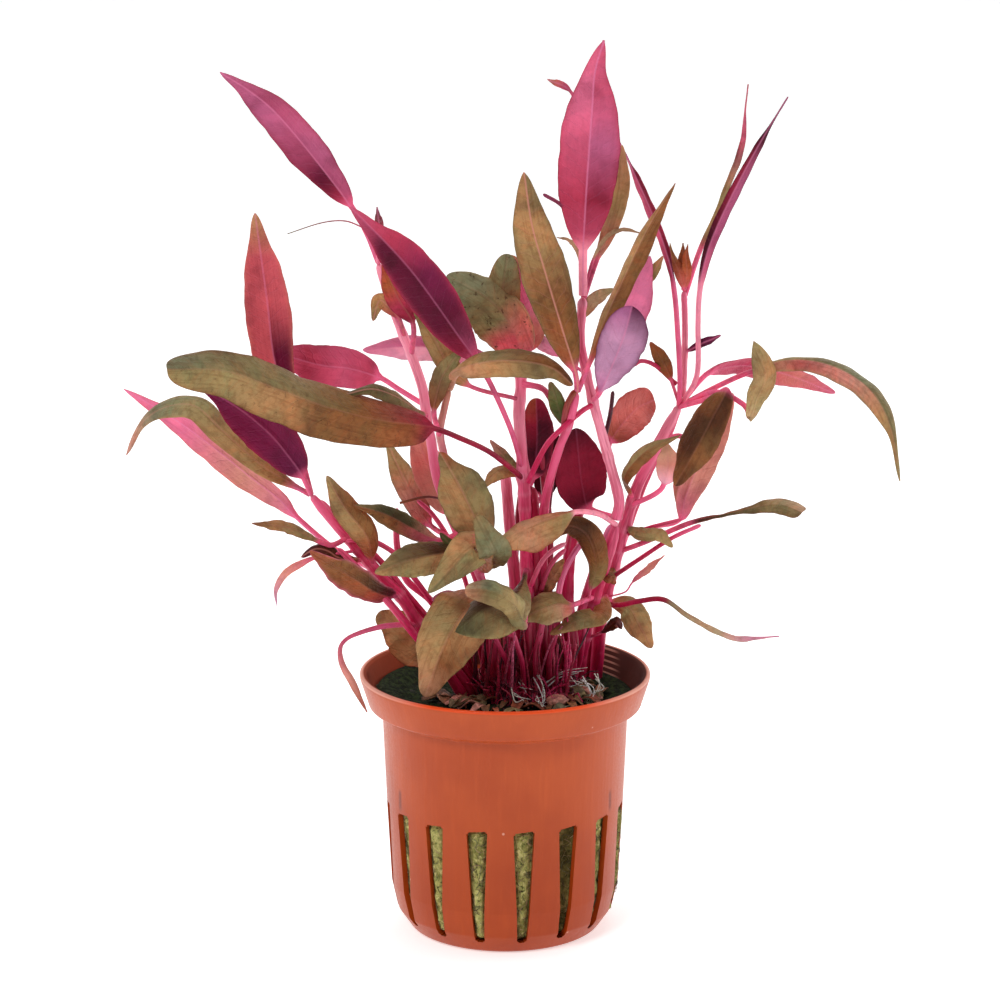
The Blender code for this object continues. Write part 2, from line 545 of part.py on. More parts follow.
def make_leaf(name, material):
    leaf = LEAVES[name]
    points = [spot(*place) for place in leaf.route]
    points[0] = petiole_start(leaf.stem, points[0])
    steps = 10 if leaf.half_width > BROAD else 8
    curve = smooth_route(points, steps)
    ways = directions(curve)
    lengths = [(b - a).length for a, b in zip(points, points[1:])]
    bare = max(sum(lengths[: leaf.petiole - 1]) / sum(lengths), SHORTEST_PETIOLE)
    columns = (-1.0, -0.5, 0.0, 0.5, 1.0) if leaf.half_width > BROAD else (-1.0, 0.0, 1.0)
    looks = Vector(leaf.face)
    mesh_builder = bmesh.new()
    rings = []
    for index, (point, way) in enumerate(zip(curve, ways)):
        share = index / steps
        blade = max((share - bare) / (1 - bare), 0.0)
        wide = leaf.half_width * blade_width(blade, leaf.widest, leaf.blunt)
        half = max(wide, PETIOLE_RADIUS * (1 - PETIOLE_TAPER * blade))
        thinned = min(blade / BLADE_THINS_OVER, 1.0)
        thick = PETIOLE_RADIUS + (BLADE_THICKNESS / 2 - PETIOLE_RADIUS) * thinned
        out = (looks - way * looks.dot(way)).normalized()
        side = way.cross(out)
        if index == steps:
            half = TIP_HALF_WIDTH
            thick = TIP_HALF_THICKNESS
        top = []
        low = []
        for column in columns:
            lean = side * column * half + out * leaf.lift * wide * column**2
            bulge = thick * (1 - abs(column))
            top.append(point + lean + out * bulge)
            if abs(column) < 1:
                low.append(point + lean - out * bulge)
        rings.append(top + list(reversed(low)))
    skin_rings(mesh_builder, rings)
    bmesh.ops.triangulate(mesh_builder, faces=mesh_builder.faces)
    add_object(name, mesh_builder, material)


def make_leaves():
    materials = {
        shade: plain_material("leaf_" + shade, colour, 0.5)
        for shade, colour in LEAF_COLOURS.items()
    }
    for name, leaf in LEAVES.items():
        make_leaf(name, materials[leaf.colour])


clear_scene()
make_pot()
make_wool()
make_stones()
make_stems()
make_leaves()
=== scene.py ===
"""The look of the potted alternanthera: its fine surfaces, colours, light and camera.

Lengths are millimetres until a mesh is made, which scales them to metres. The origin is
the centre of the pot's foot, +Z is up and the front faces -Y.

Stems and leaves follow the same routes as the solids that they stand for. A route's place
is (across, down, behind): units right and down on the front picture, and the millimetres
that it lies behind the pot's axis.
"""

import random
from collections import namedtuple
from math import cos, log, pi, radians, sin, tau

import bmesh
import bpy
import numpy as np
from mathutils import Matrix, Vector, noise


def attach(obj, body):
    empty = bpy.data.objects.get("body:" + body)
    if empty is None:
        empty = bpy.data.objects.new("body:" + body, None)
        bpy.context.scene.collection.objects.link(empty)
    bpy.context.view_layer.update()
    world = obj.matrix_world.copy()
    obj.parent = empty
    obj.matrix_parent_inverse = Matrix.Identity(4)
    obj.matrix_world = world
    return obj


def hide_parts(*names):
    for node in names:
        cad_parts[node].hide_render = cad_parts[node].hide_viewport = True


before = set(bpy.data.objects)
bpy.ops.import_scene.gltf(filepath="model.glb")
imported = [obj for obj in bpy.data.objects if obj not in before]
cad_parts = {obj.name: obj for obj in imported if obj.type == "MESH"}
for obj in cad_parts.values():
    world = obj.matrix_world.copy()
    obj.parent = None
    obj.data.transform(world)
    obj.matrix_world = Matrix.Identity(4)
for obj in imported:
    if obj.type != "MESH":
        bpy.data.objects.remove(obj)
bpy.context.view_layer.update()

MM = 0.001

# The front picture: where it is seen from, and how many of its units a slope of 1 spans
EYE = np.array((-0.95, -620.0, 228.0))
PITCH = radians(13.15)
FOCAL = 3400.0
CENTRE = 500.0
PICTURE_WIDTH = 1000.0
SENSOR_WIDTH = 36.0

# The pot
POT_HEIGHT = 50.0
RIM_RADIUS = 27.5
LIP_WIDTH = 1.3
COLLAR_FOOT = POT_HEIGHT - 6.2
COLLAR_FOOT_RADIUS = 25.8
BODY_TOP_RADIUS = 23.3
BODY_MIDDLE_RADIUS = 22.5
BODY_MIDDLE = 24.0
BODY_LOW_RADIUS = 21.7
BODY_LOW = 9.0
FOOT_BEND_RADIUS = 20.6
FOOT_BEND = 4.0
FOOT_RADIUS = 18.2
WALL = 1.1
FLOOR = 1.4
POT_SIDES = 192
CORNER_RADIUS = 0.35
CORNER_STEPS = 3
SHARP_FROM = radians(35)
SLOTS = 16
SLOT_PITCH = 360.0 / SLOTS
SLOT_FIRST_ANGLE = 9.0
SLOT_TOP = 25.2
SLOT_BOTTOM = 2.6
SLOT_TOP_WIDTH = 4.0
SLOT_BOTTOM_WIDTH = 1.8
SLOT_SKEW = 0.4
SLOT_CUT_FROM = 15.0
SLOT_CUT_TO = 26.0
FLOOR_HOLES = 8
FLOOR_HOLE_RING = 12.5
FLOOR_HOLE_RADIUS = 1.6
FLOOR_HOLE_SIDES = 24

# The inside of the pot's wall from its floor to its collar: radius and height
INSIDE = (
    (FOOT_RADIUS - 1.6, FLOOR),
    (FOOT_BEND_RADIUS - WALL, FOOT_BEND + 0.2),
    (BODY_LOW_RADIUS - WALL, BODY_LOW),
    (BODY_MIDDLE_RADIUS - WALL, BODY_MIDDLE),
    (BODY_TOP_RADIUS - WALL, COLLAR_FOOT - 2.0),
    (COLLAR_FOOT_RADIUS - 1.4, COLLAR_FOOT + 1.0),
)

# The rock wool: how finely it is divided, its play in the pot, how far its edge lies below its
# top, where the rings of its top lie (as shares of its radius), and how far it swells out
# into each slot, from the front slot round
WOOL_TOP = 44.9
WOOL_AROUND = 360
WOOL_UP = 120
WOOL_PLAY = 0.3
WOOL_EDGE_DROP = 1.2
WOOL_RINGS = (0.985, 0.965, 0.94, 0.91, 0.88, 0.84, 0.79, 0.73, 0.66, 0.58, 0.49, 0.39, 0.28, 0.16, 0.05)
WOOL_SWELLS = (0.5, -0.9, 0.5, 1.5, 0.9, 0.5, 0.9, 0.3, 0.7, 0.9, 0.4, 0.8, -0.7, 0.5, 1.0, 1.25)

# How many loose fibres, crumbs, crumbs on the left bank, dead scraps, side roots and tall shoots
FIBRES = 2600
CRUMBS = 900
BANK_CRUMBS = 420
SCRAPS = 90
TANGLE = 380
TALL_TANGLE = 90

# Small things on the wool: the radii along a fibre, how far out fibres and crumbs lie, the
# left bank's arc (as shares of a turn) and radii, where the scraps and the tangle lie and how
# far they reach, and how many strands follow each rootlet's route
FIBRE_RADII = (0.02, 0.06, 0.07, 0.06, 0.02)
FIBRE_REACH = 22.0
FIBRE_LIMIT = 22.6
CRUMB_REACH = 23.0
BANK_ANGLES = (0.08, 0.42)
BANK_FROM = 19.5
BANK_TO = 24.4
SCRAP_MIDDLE = (3.0, -1.0)
SCRAP_REACH = 13.0
SCRAP_STEPS = 8
SCRAP_THICKNESS = 0.2
TANGLE_MIDDLE = 4.0
TANGLE_REACH = (10.0, 8.0)
ROOTLET_STRANDS = 3
THREAD_SIDES = 6

# Stems: their fineness, how much thicker their flesh is than their radii say, how deep they
# stand in the wool and how far they spread there, the size of their streaks, and the
# swellings and pale rings where leaves grow
STEM_SIDES = 16
STEM_STEPS = 90
STEM_FLESH = 1.1
STEM_SINKS = 2.5
FOOT_SPREAD = 1.15
STREAK_RADIUS = 1.6
STREAK_LENGTH = 0.12
NODE_SWELLING = 0.12
NODE_HALF_LENGTH = 0.9
NODE_RING_HALF_LENGTH = 0.45
NODE_RING_STRENGTH = 0.2

# Leaves: their fineness, where the columns of a half lie, and how their blades, tips,
# petioles, torn edges and midribs are formed
LEAF_STEPS = 64
FINE_STEPS = 320
COLUMNS = (0.0, 0.05, 0.13, 0.25, 0.4, 0.56, 0.72, 0.86, 0.95, 1.0)
BLADE_HALF_THICKNESS = 0.13
BLADE_THINS_OVER = 0.2
RIPPLE_WAVES = 1.8
TIP_HALF_WIDTH = 0.05
TIP_HALF_THICKNESS = 0.04
PETIOLE_RADIUS = 0.5
PETIOLE_TAPER = 0.7
SHORTEST_PETIOLE = 0.04
TIP_CROWDING = 1.6
EDGE_ROUGHNESS = 0.04
EDGE_WAVES = 3.0
RIB_HEIGHT = 0.4
RIB_HALF_WIDTH = 0.4
GROOVE_DEPTH = 0.12
GROOVE_HALF_WIDTH = 0.5

# The studio, in metres: what the lights point at, the floor's half width and its line from
# front to back, and each light's name, place, size and power in watts
AIM = Vector((0.0, 0.0, 0.085))
FLOOR_HALF_WIDTH = 3.0
FLOOR_FRONT = -2.5
FLOOR_BACK = 0.9
SWEEP_RADIUS = 0.5
SWEEP_STEPS = 12
BACKDROP_TOP = 3.0
LIGHTS = (
    ("key", (-0.40, -0.75, 0.80), 0.35, 4.7),
    ("fill", (0.75, -0.6, 0.45), 0.7, 1.3),
    ("top", (0.05, 0.10, 0.95), 0.5, 2.6),
    ("left_strip", (-0.75, 0.15, 0.25), 0.5, 1.8),
    ("right_strip", (0.75, 0.15, 0.25), 0.5, 2.4),
)


def linear(code):
    """A hex colour in linear light."""
    found = []
    for start in (1, 3, 5):
        part = int(code[start : start + 2], 16) / 255
        found.append(part / 12.92 if part <= 0.04045 else ((part + 0.055) / 1.055) ** 2.4)
    return np.array(found)


COLOURS = {
    "olive": "#84704A", "dark_olive": "#4C4528", "green": "#5C6836", "sage": "#7C7A5A",
    "khaki": "#9C8658", "tan": "#B48658", "pale_tan": "#C6A480", "brown": "#8A5832",
    "rust": "#9C4E30", "coral": "#CC6A62", "salmon": "#D48C7C", "rose": "#C65070",
    "pink": "#E07CA4", "pale_pink": "#EBAABF", "mauve": "#A25482", "lilac": "#BC86A8",
    "purple": "#741440", "plum": "#561038", "crimson": "#96203C", "maroon": "#4A0F22",
    "magenta": "#CC2058", "deep_magenta": "#A4143C", "orange": "#B05A34", "cherry": "#B43450",
    "red": "#B04038", "raspberry": "#AA4668", "tan_pink": "#BC8464", "dark_brown": "#4E2C18",
    "hot_pink": "#E66088", "white": "#EFE6DA", "stem_pink": "#F595AC", "shadow": "#2C1A0C",
    "wine": "#5C0429", "coral_red": "#C4505A", "mauve_pink": "#B6587E", "rose_pink": "#D8688A",
    # Pot and wool colours; some of them stand for painted shade and painted highlights, as marked where
    # they are used
    "terracotta": "#A9400F", "pale_terracotta": "#B54C20", "dust": "#E8B8A4",
    "painted_shade_damp_plastic": "#3A0E06", "painted_crease_shade": "#6A2410", "lip": "#E04A14", "painted_lip_side_highlight": "#D8907A",
    "painted_gleam": "#D89C88", "dull_straw": "#868044", "straw": "#B6B068", "pale_straw": "#D8CC8A",
    "algae": "#6C7840", "painted_hollow_shade": "#3A3418", "dark_soil": "#12180A", "soil": "#2E3C1C",
}
PALETTE = {name: linear(code) for name, code in COLOURS.items()}


def spot(across, down, behind):
    """The point in space of a place on the front picture."""
    right = (across - CENTRE) / FOCAL
    drop = (down - CENTRE) / FOCAL
    forward = cos(PITCH) - drop * sin(PITCH)
    fall = sin(PITCH) + drop * cos(PITCH)
    reach = (behind - EYE[1]) / forward
    return EYE + np.array((right * reach, forward * reach, -fall * reach))


def unit(rows):
    """Each row at length 1."""
    return rows / np.maximum(np.linalg.norm(rows, axis=-1, keepdims=True), 1e-9)


def smooth_route(points, steps):
    """Points at even distances along a smooth curve through the given ones."""
    points = np.array(points)
    ends = np.vstack([2 * points[0] - points[1], points, 2 * points[-1] - points[-2]])
    lengths = np.linalg.norm(np.diff(points, axis=0), axis=1)
    starts = np.concatenate([[0.0], np.cumsum(lengths)])
    along = np.linspace(0.0, starts[-1], steps + 1)
    span = np.clip(np.searchsorted(starts, along) - 1, 0, len(lengths) - 1)
    part = ((along - starts[span]) / lengths[span])[:, None]
    before, start, end, after = (ends[span + shift] for shift in range(4))
    return 0.5 * (
        2 * start
        + (end - before) * part
        + (2 * before - 5 * start + 4 * end - after) * part**2
        + (3 * start - before - 3 * end + after) * part**3
    )


def directions(points):
    """The unit direction of a curve at each of its points."""
    return unit(np.vstack([points[1:], points[-1:]]) - np.vstack([points[:1], points[:-1]]))


def soft_step(value, low, high):
    """0 below low, 1 above high and smooth between."""
    part = np.clip((value - low) / (high - low), 0.0, 1.0)
    return part * part * (3 - 2 * part)


def wobble(share, count, chance):
    """A smooth irregular wave between -1 and 1."""
    waves = [(strength, pace, chance.random()) for strength, pace in ((0.5, 1), (0.3, 2.3), (0.2, 4.1))]
    return sum(strength * np.sin(tau * (share * count * pace + start)) for strength, pace, start in waves)


def drawn(chance, *ranges):
    """A random number out of each range in turn."""
    return np.array([chance.uniform(*span) for span in ranges])


def ring_faces(rings, corners):
    """Quads between rings of corners, and a face over each end."""
    rows = np.arange(rings - 1)[:, None] * corners
    here = np.arange(corners)[None, :]
    after = (here + 1) % corners
    quads = np.stack([rows + here, rows + after, rows + corners + after, rows + corners + here], axis=-1)
    last = (rings - 1) * corners
    ends = [list(range(corners))[::-1], list(range(last, last + corners))]
    return quads.reshape(-1, 4).tolist() + ends


def place_in_scene(name, data, material=None):
    """A new object in the scene, from its mesh, light or camera."""
    made = bpy.data.objects.new(name, data)
    if material:
        data.materials.append(material)
    bpy.context.scene.collection.objects.link(made)
    return made


def add_piece(name, points, faces, material, tints=None, places=None):
    """A smooth object from points in millimetres, with its colours and surface places."""
    mesh = bpy.data.meshes.new(name)
    mesh.from_pydata((np.asarray(points) * MM).tolist(), [], faces)
    layers = (("tint", "FLOAT_COLOR", "color", tints), ("place", "FLOAT_VECTOR", "vector", places))
    for layer, kind, key, values in layers:
        if values is not None:
            rows = mesh.attributes.new(layer, kind, "POINT").data
            rows.foreach_set(key, np.asarray(values, dtype=np.float32).ravel())
    mesh.shade_smooth()
    return place_in_scene(name, mesh, material)


def settle(piece, slot, *nodes):
    """The piece rides with the plant and stands for its nodes; the slot is not used."""
    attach(piece, "root")
    if nodes:
        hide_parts(*nodes)


def own_node(name):
    """The node of that name as a list, which is empty where the CAD model has none."""
    return [name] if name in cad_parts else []


def tube(points, radii, sides):
    """Corners and faces of a tube along points, closed at both ends."""
    points = np.asarray(points, dtype=float)
    ways = directions(points)
    side = np.cross(ways[0], (0.0, 1.0, 0.02))
    across = []
    for way in ways:
        side = side - way * np.dot(side, way)
        side = side / max(np.linalg.norm(side), 1e-9)
        across.append(side)
    across = np.array(across)
    other = np.cross(ways, across)
    angles = tau * np.arange(sides) / sides
    radii = np.asarray(radii, dtype=float)[:, None, None]
    rings = (
        points[:, None, :]
        + across[:, None, :] * radii * np.cos(angles)[None, :, None]
        + other[:, None, :] * radii * np.sin(angles)[None, :, None]
    )
    return rings.reshape(-1, 3), ring_faces(len(points), sides)


class Heap:
    """Many small shapes that make up one piece."""

    def __init__(self):
        self.points, self.faces, self.tints = [], [], []

    def add(self, points, faces, tint):
        """One more shape, in one colour or in a colour for each of its points."""
        self.faces += [[corner + len(self.points) for corner in face] for face in faces]
        self.points += np.asarray(points).tolist()
        self.tints += tint if isinstance(tint, list) else [tint] * len(points)

    def finish(self, name, material):
        """The whole heap as a piece that rides with the plant."""
        piece = add_piece(name, self.points, self.faces, material, self.tints)
        settle(piece, "rock_wool")
        return piece


# Materials


def add_node(tree, kind, *values, named=(), **settings):
    """A shader node with its settings, its inputs filled in order or by name from values or sockets."""
    made = tree.nodes.new(kind)
    for key, value in settings.items():
        setattr(made, key, value)
    filled = [*zip(made.inputs, values), *((made.inputs[key], named[key]) for key in named)]
    for socket, value in filled:
        if isinstance(value, bpy.types.NodeSocket):
            tree.links.new(value, socket)
        else:
            socket.default_value = value
    return made


def maths(tree, operation, *values):
    """The result of one operation on values or sockets."""
    return add_node(tree, "ShaderNodeMath", *values, operation=operation).outputs[0]


def times(tree, first, *others):
    """The product of all the values."""
    for other in others:
        first = maths(tree, "MULTIPLY", first, other)
    return first


def plus(tree, first, *others):
    """The sum of all the values."""
    for other in others:
        first = maths(tree, "ADD", first, other)
    return first


def mixed(tree, factor, first, second, blend="MIX"):
    """The colour between two others."""
    inputs = {0: factor, 6: first, 7: second}
    return add_node(tree, "ShaderNodeMix", named=inputs, data_type="RGBA", blend_type=blend).outputs[2]


def multiplied(tree, colour, tone):
    """The colour times a tone."""
    return mixed(tree, 1.0, colour, rgba(tone), "MULTIPLY")


def toned(tree, amount, colour, tone):
    """The colour moved towards its product with a tone, by an amount from 0 to 1."""
    return mixed(tree, amount, colour, multiplied(tree, colour, tone))


def between(tree, value, low, high, to_low=0.0, to_high=1.0):
    """A value carried smoothly from one range to another."""
    ranges = (value, low, high, to_low, to_high)
    return add_node(tree, "ShaderNodeMapRange", *ranges, interpolation_type="SMOOTHSTEP").outputs[0]


def grain(tree, where, scale, detail=3.0, roughness=0.55, distortion=0.0):
    """A noise of a scale in waves per millimetre."""
    inputs = {"Vector": where, "Scale": scale, "Detail": detail, "Roughness": roughness}
    inputs["Distortion"] = distortion
    return add_node(tree, "ShaderNodeTexNoise", named=inputs).outputs["Fac"]


def millimetres(tree):
    """The object's own coordinates, in millimetres."""
    where = tree.nodes.new("ShaderNodeTexCoord").outputs["Object"]
    made = add_node(tree, "ShaderNodeVectorMath", where, named={"Scale": 1 / MM}, operation="SCALE")
    return made.outputs[0]


def squashed(tree, where, up):
    """The coordinates with their height scaled, for streaks along it."""
    return add_node(tree, "ShaderNodeVectorMath", where, (1.0, 1.0, up), operation="MULTIPLY").outputs[0]


def split(tree, where):
    """The three parts of a vector."""
    return add_node(tree, "ShaderNodeSeparateXYZ", where).outputs


def attribute(tree, name):
    """The outputs of a named attribute of the mesh."""
    return add_node(tree, "ShaderNodeAttribute", attribute_name=name).outputs


def new_material(name):
    """A new material, its node tree and its shader."""
    material = bpy.data.materials.new(name)
    material.use_nodes = True
    tree = material.node_tree
    return material, tree, tree.nodes["Principled BSDF"]


def dress(tree, shader, colour, roughness, specular=None, relief=None):
    """Feeds the shader its colour, roughness and relief (height, strength and reach in millimetres)."""
    tree.links.new(colour, shader.inputs["Base Color"])
    if isinstance(roughness, float):
        shader.inputs["Roughness"].default_value = roughness
    else:
        tree.links.new(roughness, shader.inputs["Roughness"])
    if specular is not None:
        shader.inputs["Specular IOR Level"].default_value = specular
    if relief:
        height, strength, reach = relief
        inputs = {"Strength": strength, "Distance": reach * MM, "Height": height}
        tree.links.new(add_node(tree, "ShaderNodeBump", named=inputs).outputs[0], shader.inputs["Normal"])


def rgba(colour):
    """A colour as four plain numbers, opaque."""
    return (*[float(part) for part in colour], 1.0)


def paint(name, strength=1.0):
    """A palette colour for a node or a point, at a strength."""
    return rgba(PALETTE[name] * strength)


def leaf_material():
    """Leaf skin: the piece's own tint with a midrib, side veins, streaks and dark pits."""
    material, tree, shader = new_material("leaf_skin")
    where = millimetres(tree)
    tint = attribute(tree, "tint")
    across, along, sort = split(tree, attribute(tree, "place")["Vector"])
    upper_side = between(tree, sort, 0.0, 1.0)
    pitted = between(tree, sort, 1.0, 2.0)
    out = maths(tree, "ABSOLUTE", across)

    blotch = grain(tree, where, 0.14, 2.0)
    mottle = grain(tree, where, 0.8, 4.0, 0.6)
    fine = grain(tree, where, 4.5, 2.0)
    bend = times(tree, grain(tree, where, 0.5, 1.0), 0.6)
    half = times(tree, maths(tree, "SIGN", across), 0.23)
    turn = plus(tree, times(tree, along, 0.42), times(tree, out, -0.36), half, bend)
    streak_place = add_node(tree, "ShaderNodeCombineXYZ", turn, times(tree, across, 0.12), blotch)
    streaks = grain(tree, streak_place.outputs[0], 3.2, 3.0, 0.6)
    line_place = add_node(tree, "ShaderNodeCombineXYZ", across, times(tree, along, 0.05), blotch)
    lines = grain(tree, line_place.outputs[0], 1.7, 3.0, 0.6)
    drift = grain(tree, where, 0.23, 2.0, 0.5, 0.3)

    colour = tint["Color"]
    dark = multiplied(tree, colour, (0.60, 0.52, 0.48))
    on_upper = between(tree, upper_side, 0.0, 1.0, 0.25, 1.0)
    amount = times(tree, between(tree, mottle, 0.42, 0.70, 0.0, 0.6), on_upper)
    colour = mixed(tree, amount, colour, dark)
    amount = times(tree, between(tree, lines, 0.50, 0.64, 0.0, 0.5), on_upper)
    colour = mixed(tree, amount, colour, dark)
    colour = toned(tree, between(tree, blotch, 0.46, 0.30, 0.0, 0.8), colour, (0.70, 0.62, 0.66))
    amount = times(tree, between(tree, streaks, 0.46, 0.66, 0.0, 0.75), on_upper)
    colour = toned(tree, amount, colour, (1.10, 0.92, 0.88))
    light = multiplied(tree, colour, (1.30, 1.24, 1.22))
    colour = mixed(tree, between(tree, blotch, 0.50, 0.66, 0.0, 0.7), colour, light)
    colour = mixed(tree, between(tree, fine, 0.5, 0.75, 0.0, 0.35), colour, light)
    amount = times(tree, between(tree, drift, 0.46, 0.62), upper_side)
    colour = toned(tree, amount, colour, (0.88, 1.02, 1.02))

    veins = between(tree, maths(tree, "SINE", times(tree, turn, tau)), 0.86, 1.0)
    veins = times(tree, veins, between(tree, mottle, 0.3, 0.6, 0.3, 0.9))
    side_veins = times(tree, veins, times(tree, tint["Alpha"], 0.16))
    midrib = times(tree, between(tree, out, 0.26, 0.05), tint["Alpha"])
    rib_pink = mixed(tree, upper_side, paint("pink"), paint("salmon"))
    vein_colour = mixed(tree, 0.7, colour, rib_pink)
    colour = mixed(tree, maths(tree, "MAXIMUM", side_veins, midrib), colour, vein_colour)
    pits = grain(tree, where, 0.9, 3.0, 0.7, 0.4)
    pits = times(tree, between(tree, pits, 0.60, 0.68, 0.0, 0.8), pitted)
    colour = mixed(tree, pits, colour, paint("dark_brown", 0.6))

    gloss = between(tree, mottle, 0.3, 0.7, 0.36, 0.52)
    parts = ((lines, 0.7), (mottle, 0.6), (streaks, 0.5), (fine, 0.15), (pits, -0.5))
    relief = plus(tree, times(tree, veins, -0.25), *[times(tree, *part) for part in parts])
    dress(tree, shader, colour, gloss, 0.12, (relief, 0.7, 0.55))
    return material


def stem_material():
    """Fleshy stem skin with fine streaks along it."""
    material, tree, shader = new_material("stem_flesh")
    where = millimetres(tree)
    streaks = grain(tree, attribute(tree, "place")["Vector"], 1.0, 3.0, 0.6)
    mottle = grain(tree, where, 0.6, 3.0)
    fine = grain(tree, where, 5.0, 2.0)
    colour = attribute(tree, "tint")["Color"]
    colour = toned(tree, between(tree, streaks, 0.45, 0.66, 0.0, 0.85), colour, (0.66, 0.40, 0.46))
    pale = mixed(tree, 0.5, colour, paint("hot_pink"))
    colour = mixed(tree, between(tree, streaks, 0.46, 0.30, 0.0, 0.8), colour, pale)
    colour = mixed(tree, between(tree, mottle, 0.55, 0.75, 0.0, 0.4), colour, pale)
    relief = plus(tree, streaks, times(tree, fine, 0.25))
    dress(tree, shader, colour, between(tree, fine, 0.3, 0.7, 0.28, 0.42), 0.3, (relief, 0.4, 0.12))
    return material


def plastic_material():
    """Moulded terracotta plastic, faintly clouded and dusty, wet and painted darker inside, with a painted
    highlight at its lip.
    """
    material, tree, shader = new_material("pot_moulding")
    where = millimetres(tree)
    cloud = grain(tree, where, 0.05, 3.0)
    fine = grain(tree, where, 2.2, 3.0)
    draw = grain(tree, squashed(tree, where, 0.08), 0.9, 3.0)
    across, behind, up = split(tree, where)
    side = maths(tree, "ABSOLUTE", across)

    colour = mixed(tree, between(tree, up, 8.0, 40.0), paint("terracotta"), paint("pale_terracotta"))
    colour = toned(tree, between(tree, cloud, 0.4, 0.65, 0.0, 0.7), colour, (0.84, 0.74, 0.70))
    colour = toned(tree, between(tree, draw, 0.48, 0.75, 0.0, 0.6), colour, (1.10, 1.16, 1.20))
    specks = add_node(tree, "ShaderNodeTexVoronoi", named={"Vector": where, "Scale": 0.14})
    dust = between(tree, specks.outputs["Distance"], 0.045, 0.02, 0.0, 0.55)
    colour = mixed(tree, dust, colour, paint("dust"))

    # Inside the collar, whose wall widens upwards, the plastic is wet, with painted shade that deepens to
    # the right
    away = plus(tree, maths(tree, "POWER", across, 2.0), maths(tree, "POWER", behind, 2.0))
    flare = times(tree, maths(tree, "SUBTRACT", up, COLLAR_FOOT + 0.2), 0.35)
    past = maths(tree, "SUBTRACT", maths(tree, "SQRT", away), flare)
    inside = times(tree, between(tree, past, 25.2, 24.8), between(tree, up, 44.2, 44.6))
    damp_and_painted_shade = times(tree, inside, between(tree, across, -15.0, -3.0, 0.5, 0.95))
    colour = mixed(tree, damp_and_painted_shade, colour, paint("painted_shade_damp_plastic"))

    # Painted shade of a short fold in the plastic at each side of the front, just above the height of the
    # slots
    narrow = times(tree, between(tree, side, 19.3, 19.6), between(tree, side, 20.1, 19.8))
    short = times(tree, between(tree, up, 25.0, 27.0), between(tree, up, 30.5, 29.0))
    painted_crease_shade = times(tree, narrow, short, between(tree, behind, 0.0, -2.0, 0.0, 0.7))
    colour = mixed(tree, painted_crease_shade, colour, paint("painted_crease_shade"))

    # Painted highlight along the lip: bright orange at the front, paler at the sides
    lip = times(tree, between(tree, up, 49.3, 49.6), between(tree, past, 24.6, 24.9))
    painted_lip_highlight = mixed(tree, between(tree, side, 13.0, 24.0), paint("lip"), paint("painted_lip_side_highlight"))
    colour = mixed(tree, lip, colour, painted_lip_highlight)

    # Painted reflections in pale bands inside the right wall
    rings = between(tree, maths(tree, "SINE", times(tree, up, 6.0)), 0.2, 0.8)
    place = times(tree, between(tree, across, 16.8, 18.0), between(tree, across, 22.5, 20.5))
    painted_gleam = times(tree, rings, place, times(tree, inside, 0.6))
    colour = mixed(tree, painted_gleam, colour, paint("painted_gleam"))

    sheen = maths(tree, "MAXIMUM", between(tree, fine, 0.3, 0.7, 0.30, 0.42), times(tree, inside, 0.85))
    relief = plus(tree, times(tree, cloud, 1.2), times(tree, fine, 0.08), times(tree, draw, 0.25))
    dress(tree, shader, colour, sheen, 0.26, (relief, 0.5, 0.35))
    return material


def wool_material():
    """Mineral wool with algae on it: straw yellow and olive, with painted shade in the dips of its relief
    and on its side right of the front.
    """
    material, tree, shader = new_material("wool_fibre")
    where = millimetres(tree)
    patch = grain(tree, where, 0.22, 3.0)
    clump = grain(tree, where, 1.1, 4.0, 0.65, 0.5)
    strand = grain(tree, squashed(tree, where, 0.3), 3.2, 3.0, 0.7, 0.4)
    across, _, height = split(tree, where)
    colour = mixed(tree, between(tree, patch, 0.38, 0.62), paint("dull_straw"), paint("straw"))
    colour = mixed(tree, between(tree, clump, 0.5, 0.68), colour, paint("pale_straw"))
    colour = mixed(tree, between(tree, clump, 0.46, 0.38, 0.0, 0.6), colour, paint("algae"))
    # Painted shade in the dips of the relief
    colour = mixed(tree, between(tree, clump, 0.42, 0.30), colour, paint("painted_hollow_shade"))
    colour = toned(tree, between(tree, strand, 0.52, 0.36), colour, (0.72, 0.70, 0.60))
    # Painted shade on the wool's side right of the front, where it shows through the slots; it grows from
    # 1.5 to 8 mm right of the axis and eases past 14 mm
    slot_shade_fading = between(tree, across, 17.0, 14.0, 0.4, 1.0)
    amount = times(tree, between(tree, across, 1.5, 8.0, 0.0, 0.9), slot_shade_fading)
    colour = toned(tree, amount, colour, (0.26, 0.20, 0.15))
    soil = mixed(tree, between(tree, clump, 0.42, 0.62), paint("dark_soil"), paint("soil"))
    colour = mixed(tree, between(tree, height, WOOL_TOP - 2.6, WOOL_TOP - 1.4), colour, soil)
    relief = plus(tree, clump, times(tree, strand, 0.5))
    dress(tree, shader, colour, 0.95, 0.2, (relief, 1.0, 0.5))
    return material


def tinted_material(name, roughness, rough_scale=2.5):
    """A small rough thing in its own tint, such as a crumb, a pebble or a rootlet."""
    material, tree, shader = new_material(name)
    clump = grain(tree, millimetres(tree), rough_scale, 4.0, 0.6)
    tint = attribute(tree, "tint")["Color"]
    dark = multiplied(tree, tint, (0.5, 0.48, 0.45))
    colour = mixed(tree, between(tree, clump, 0.42, 0.62), dark, tint)
    gloss = between(tree, clump, 0.3, 0.7, roughness + 0.1, roughness - 0.1)
    dress(tree, shader, colour, gloss, relief=(clump, 0.7, 0.25))
    return material


# Stems: radius at the foot and at the tip, root on the wool (x, y) or None, route, and the
# colours from foot to tip
Stem = namedtuple("Stem", "foot tip root route shades", defaults=("deep_magenta magenta hot_pink",))

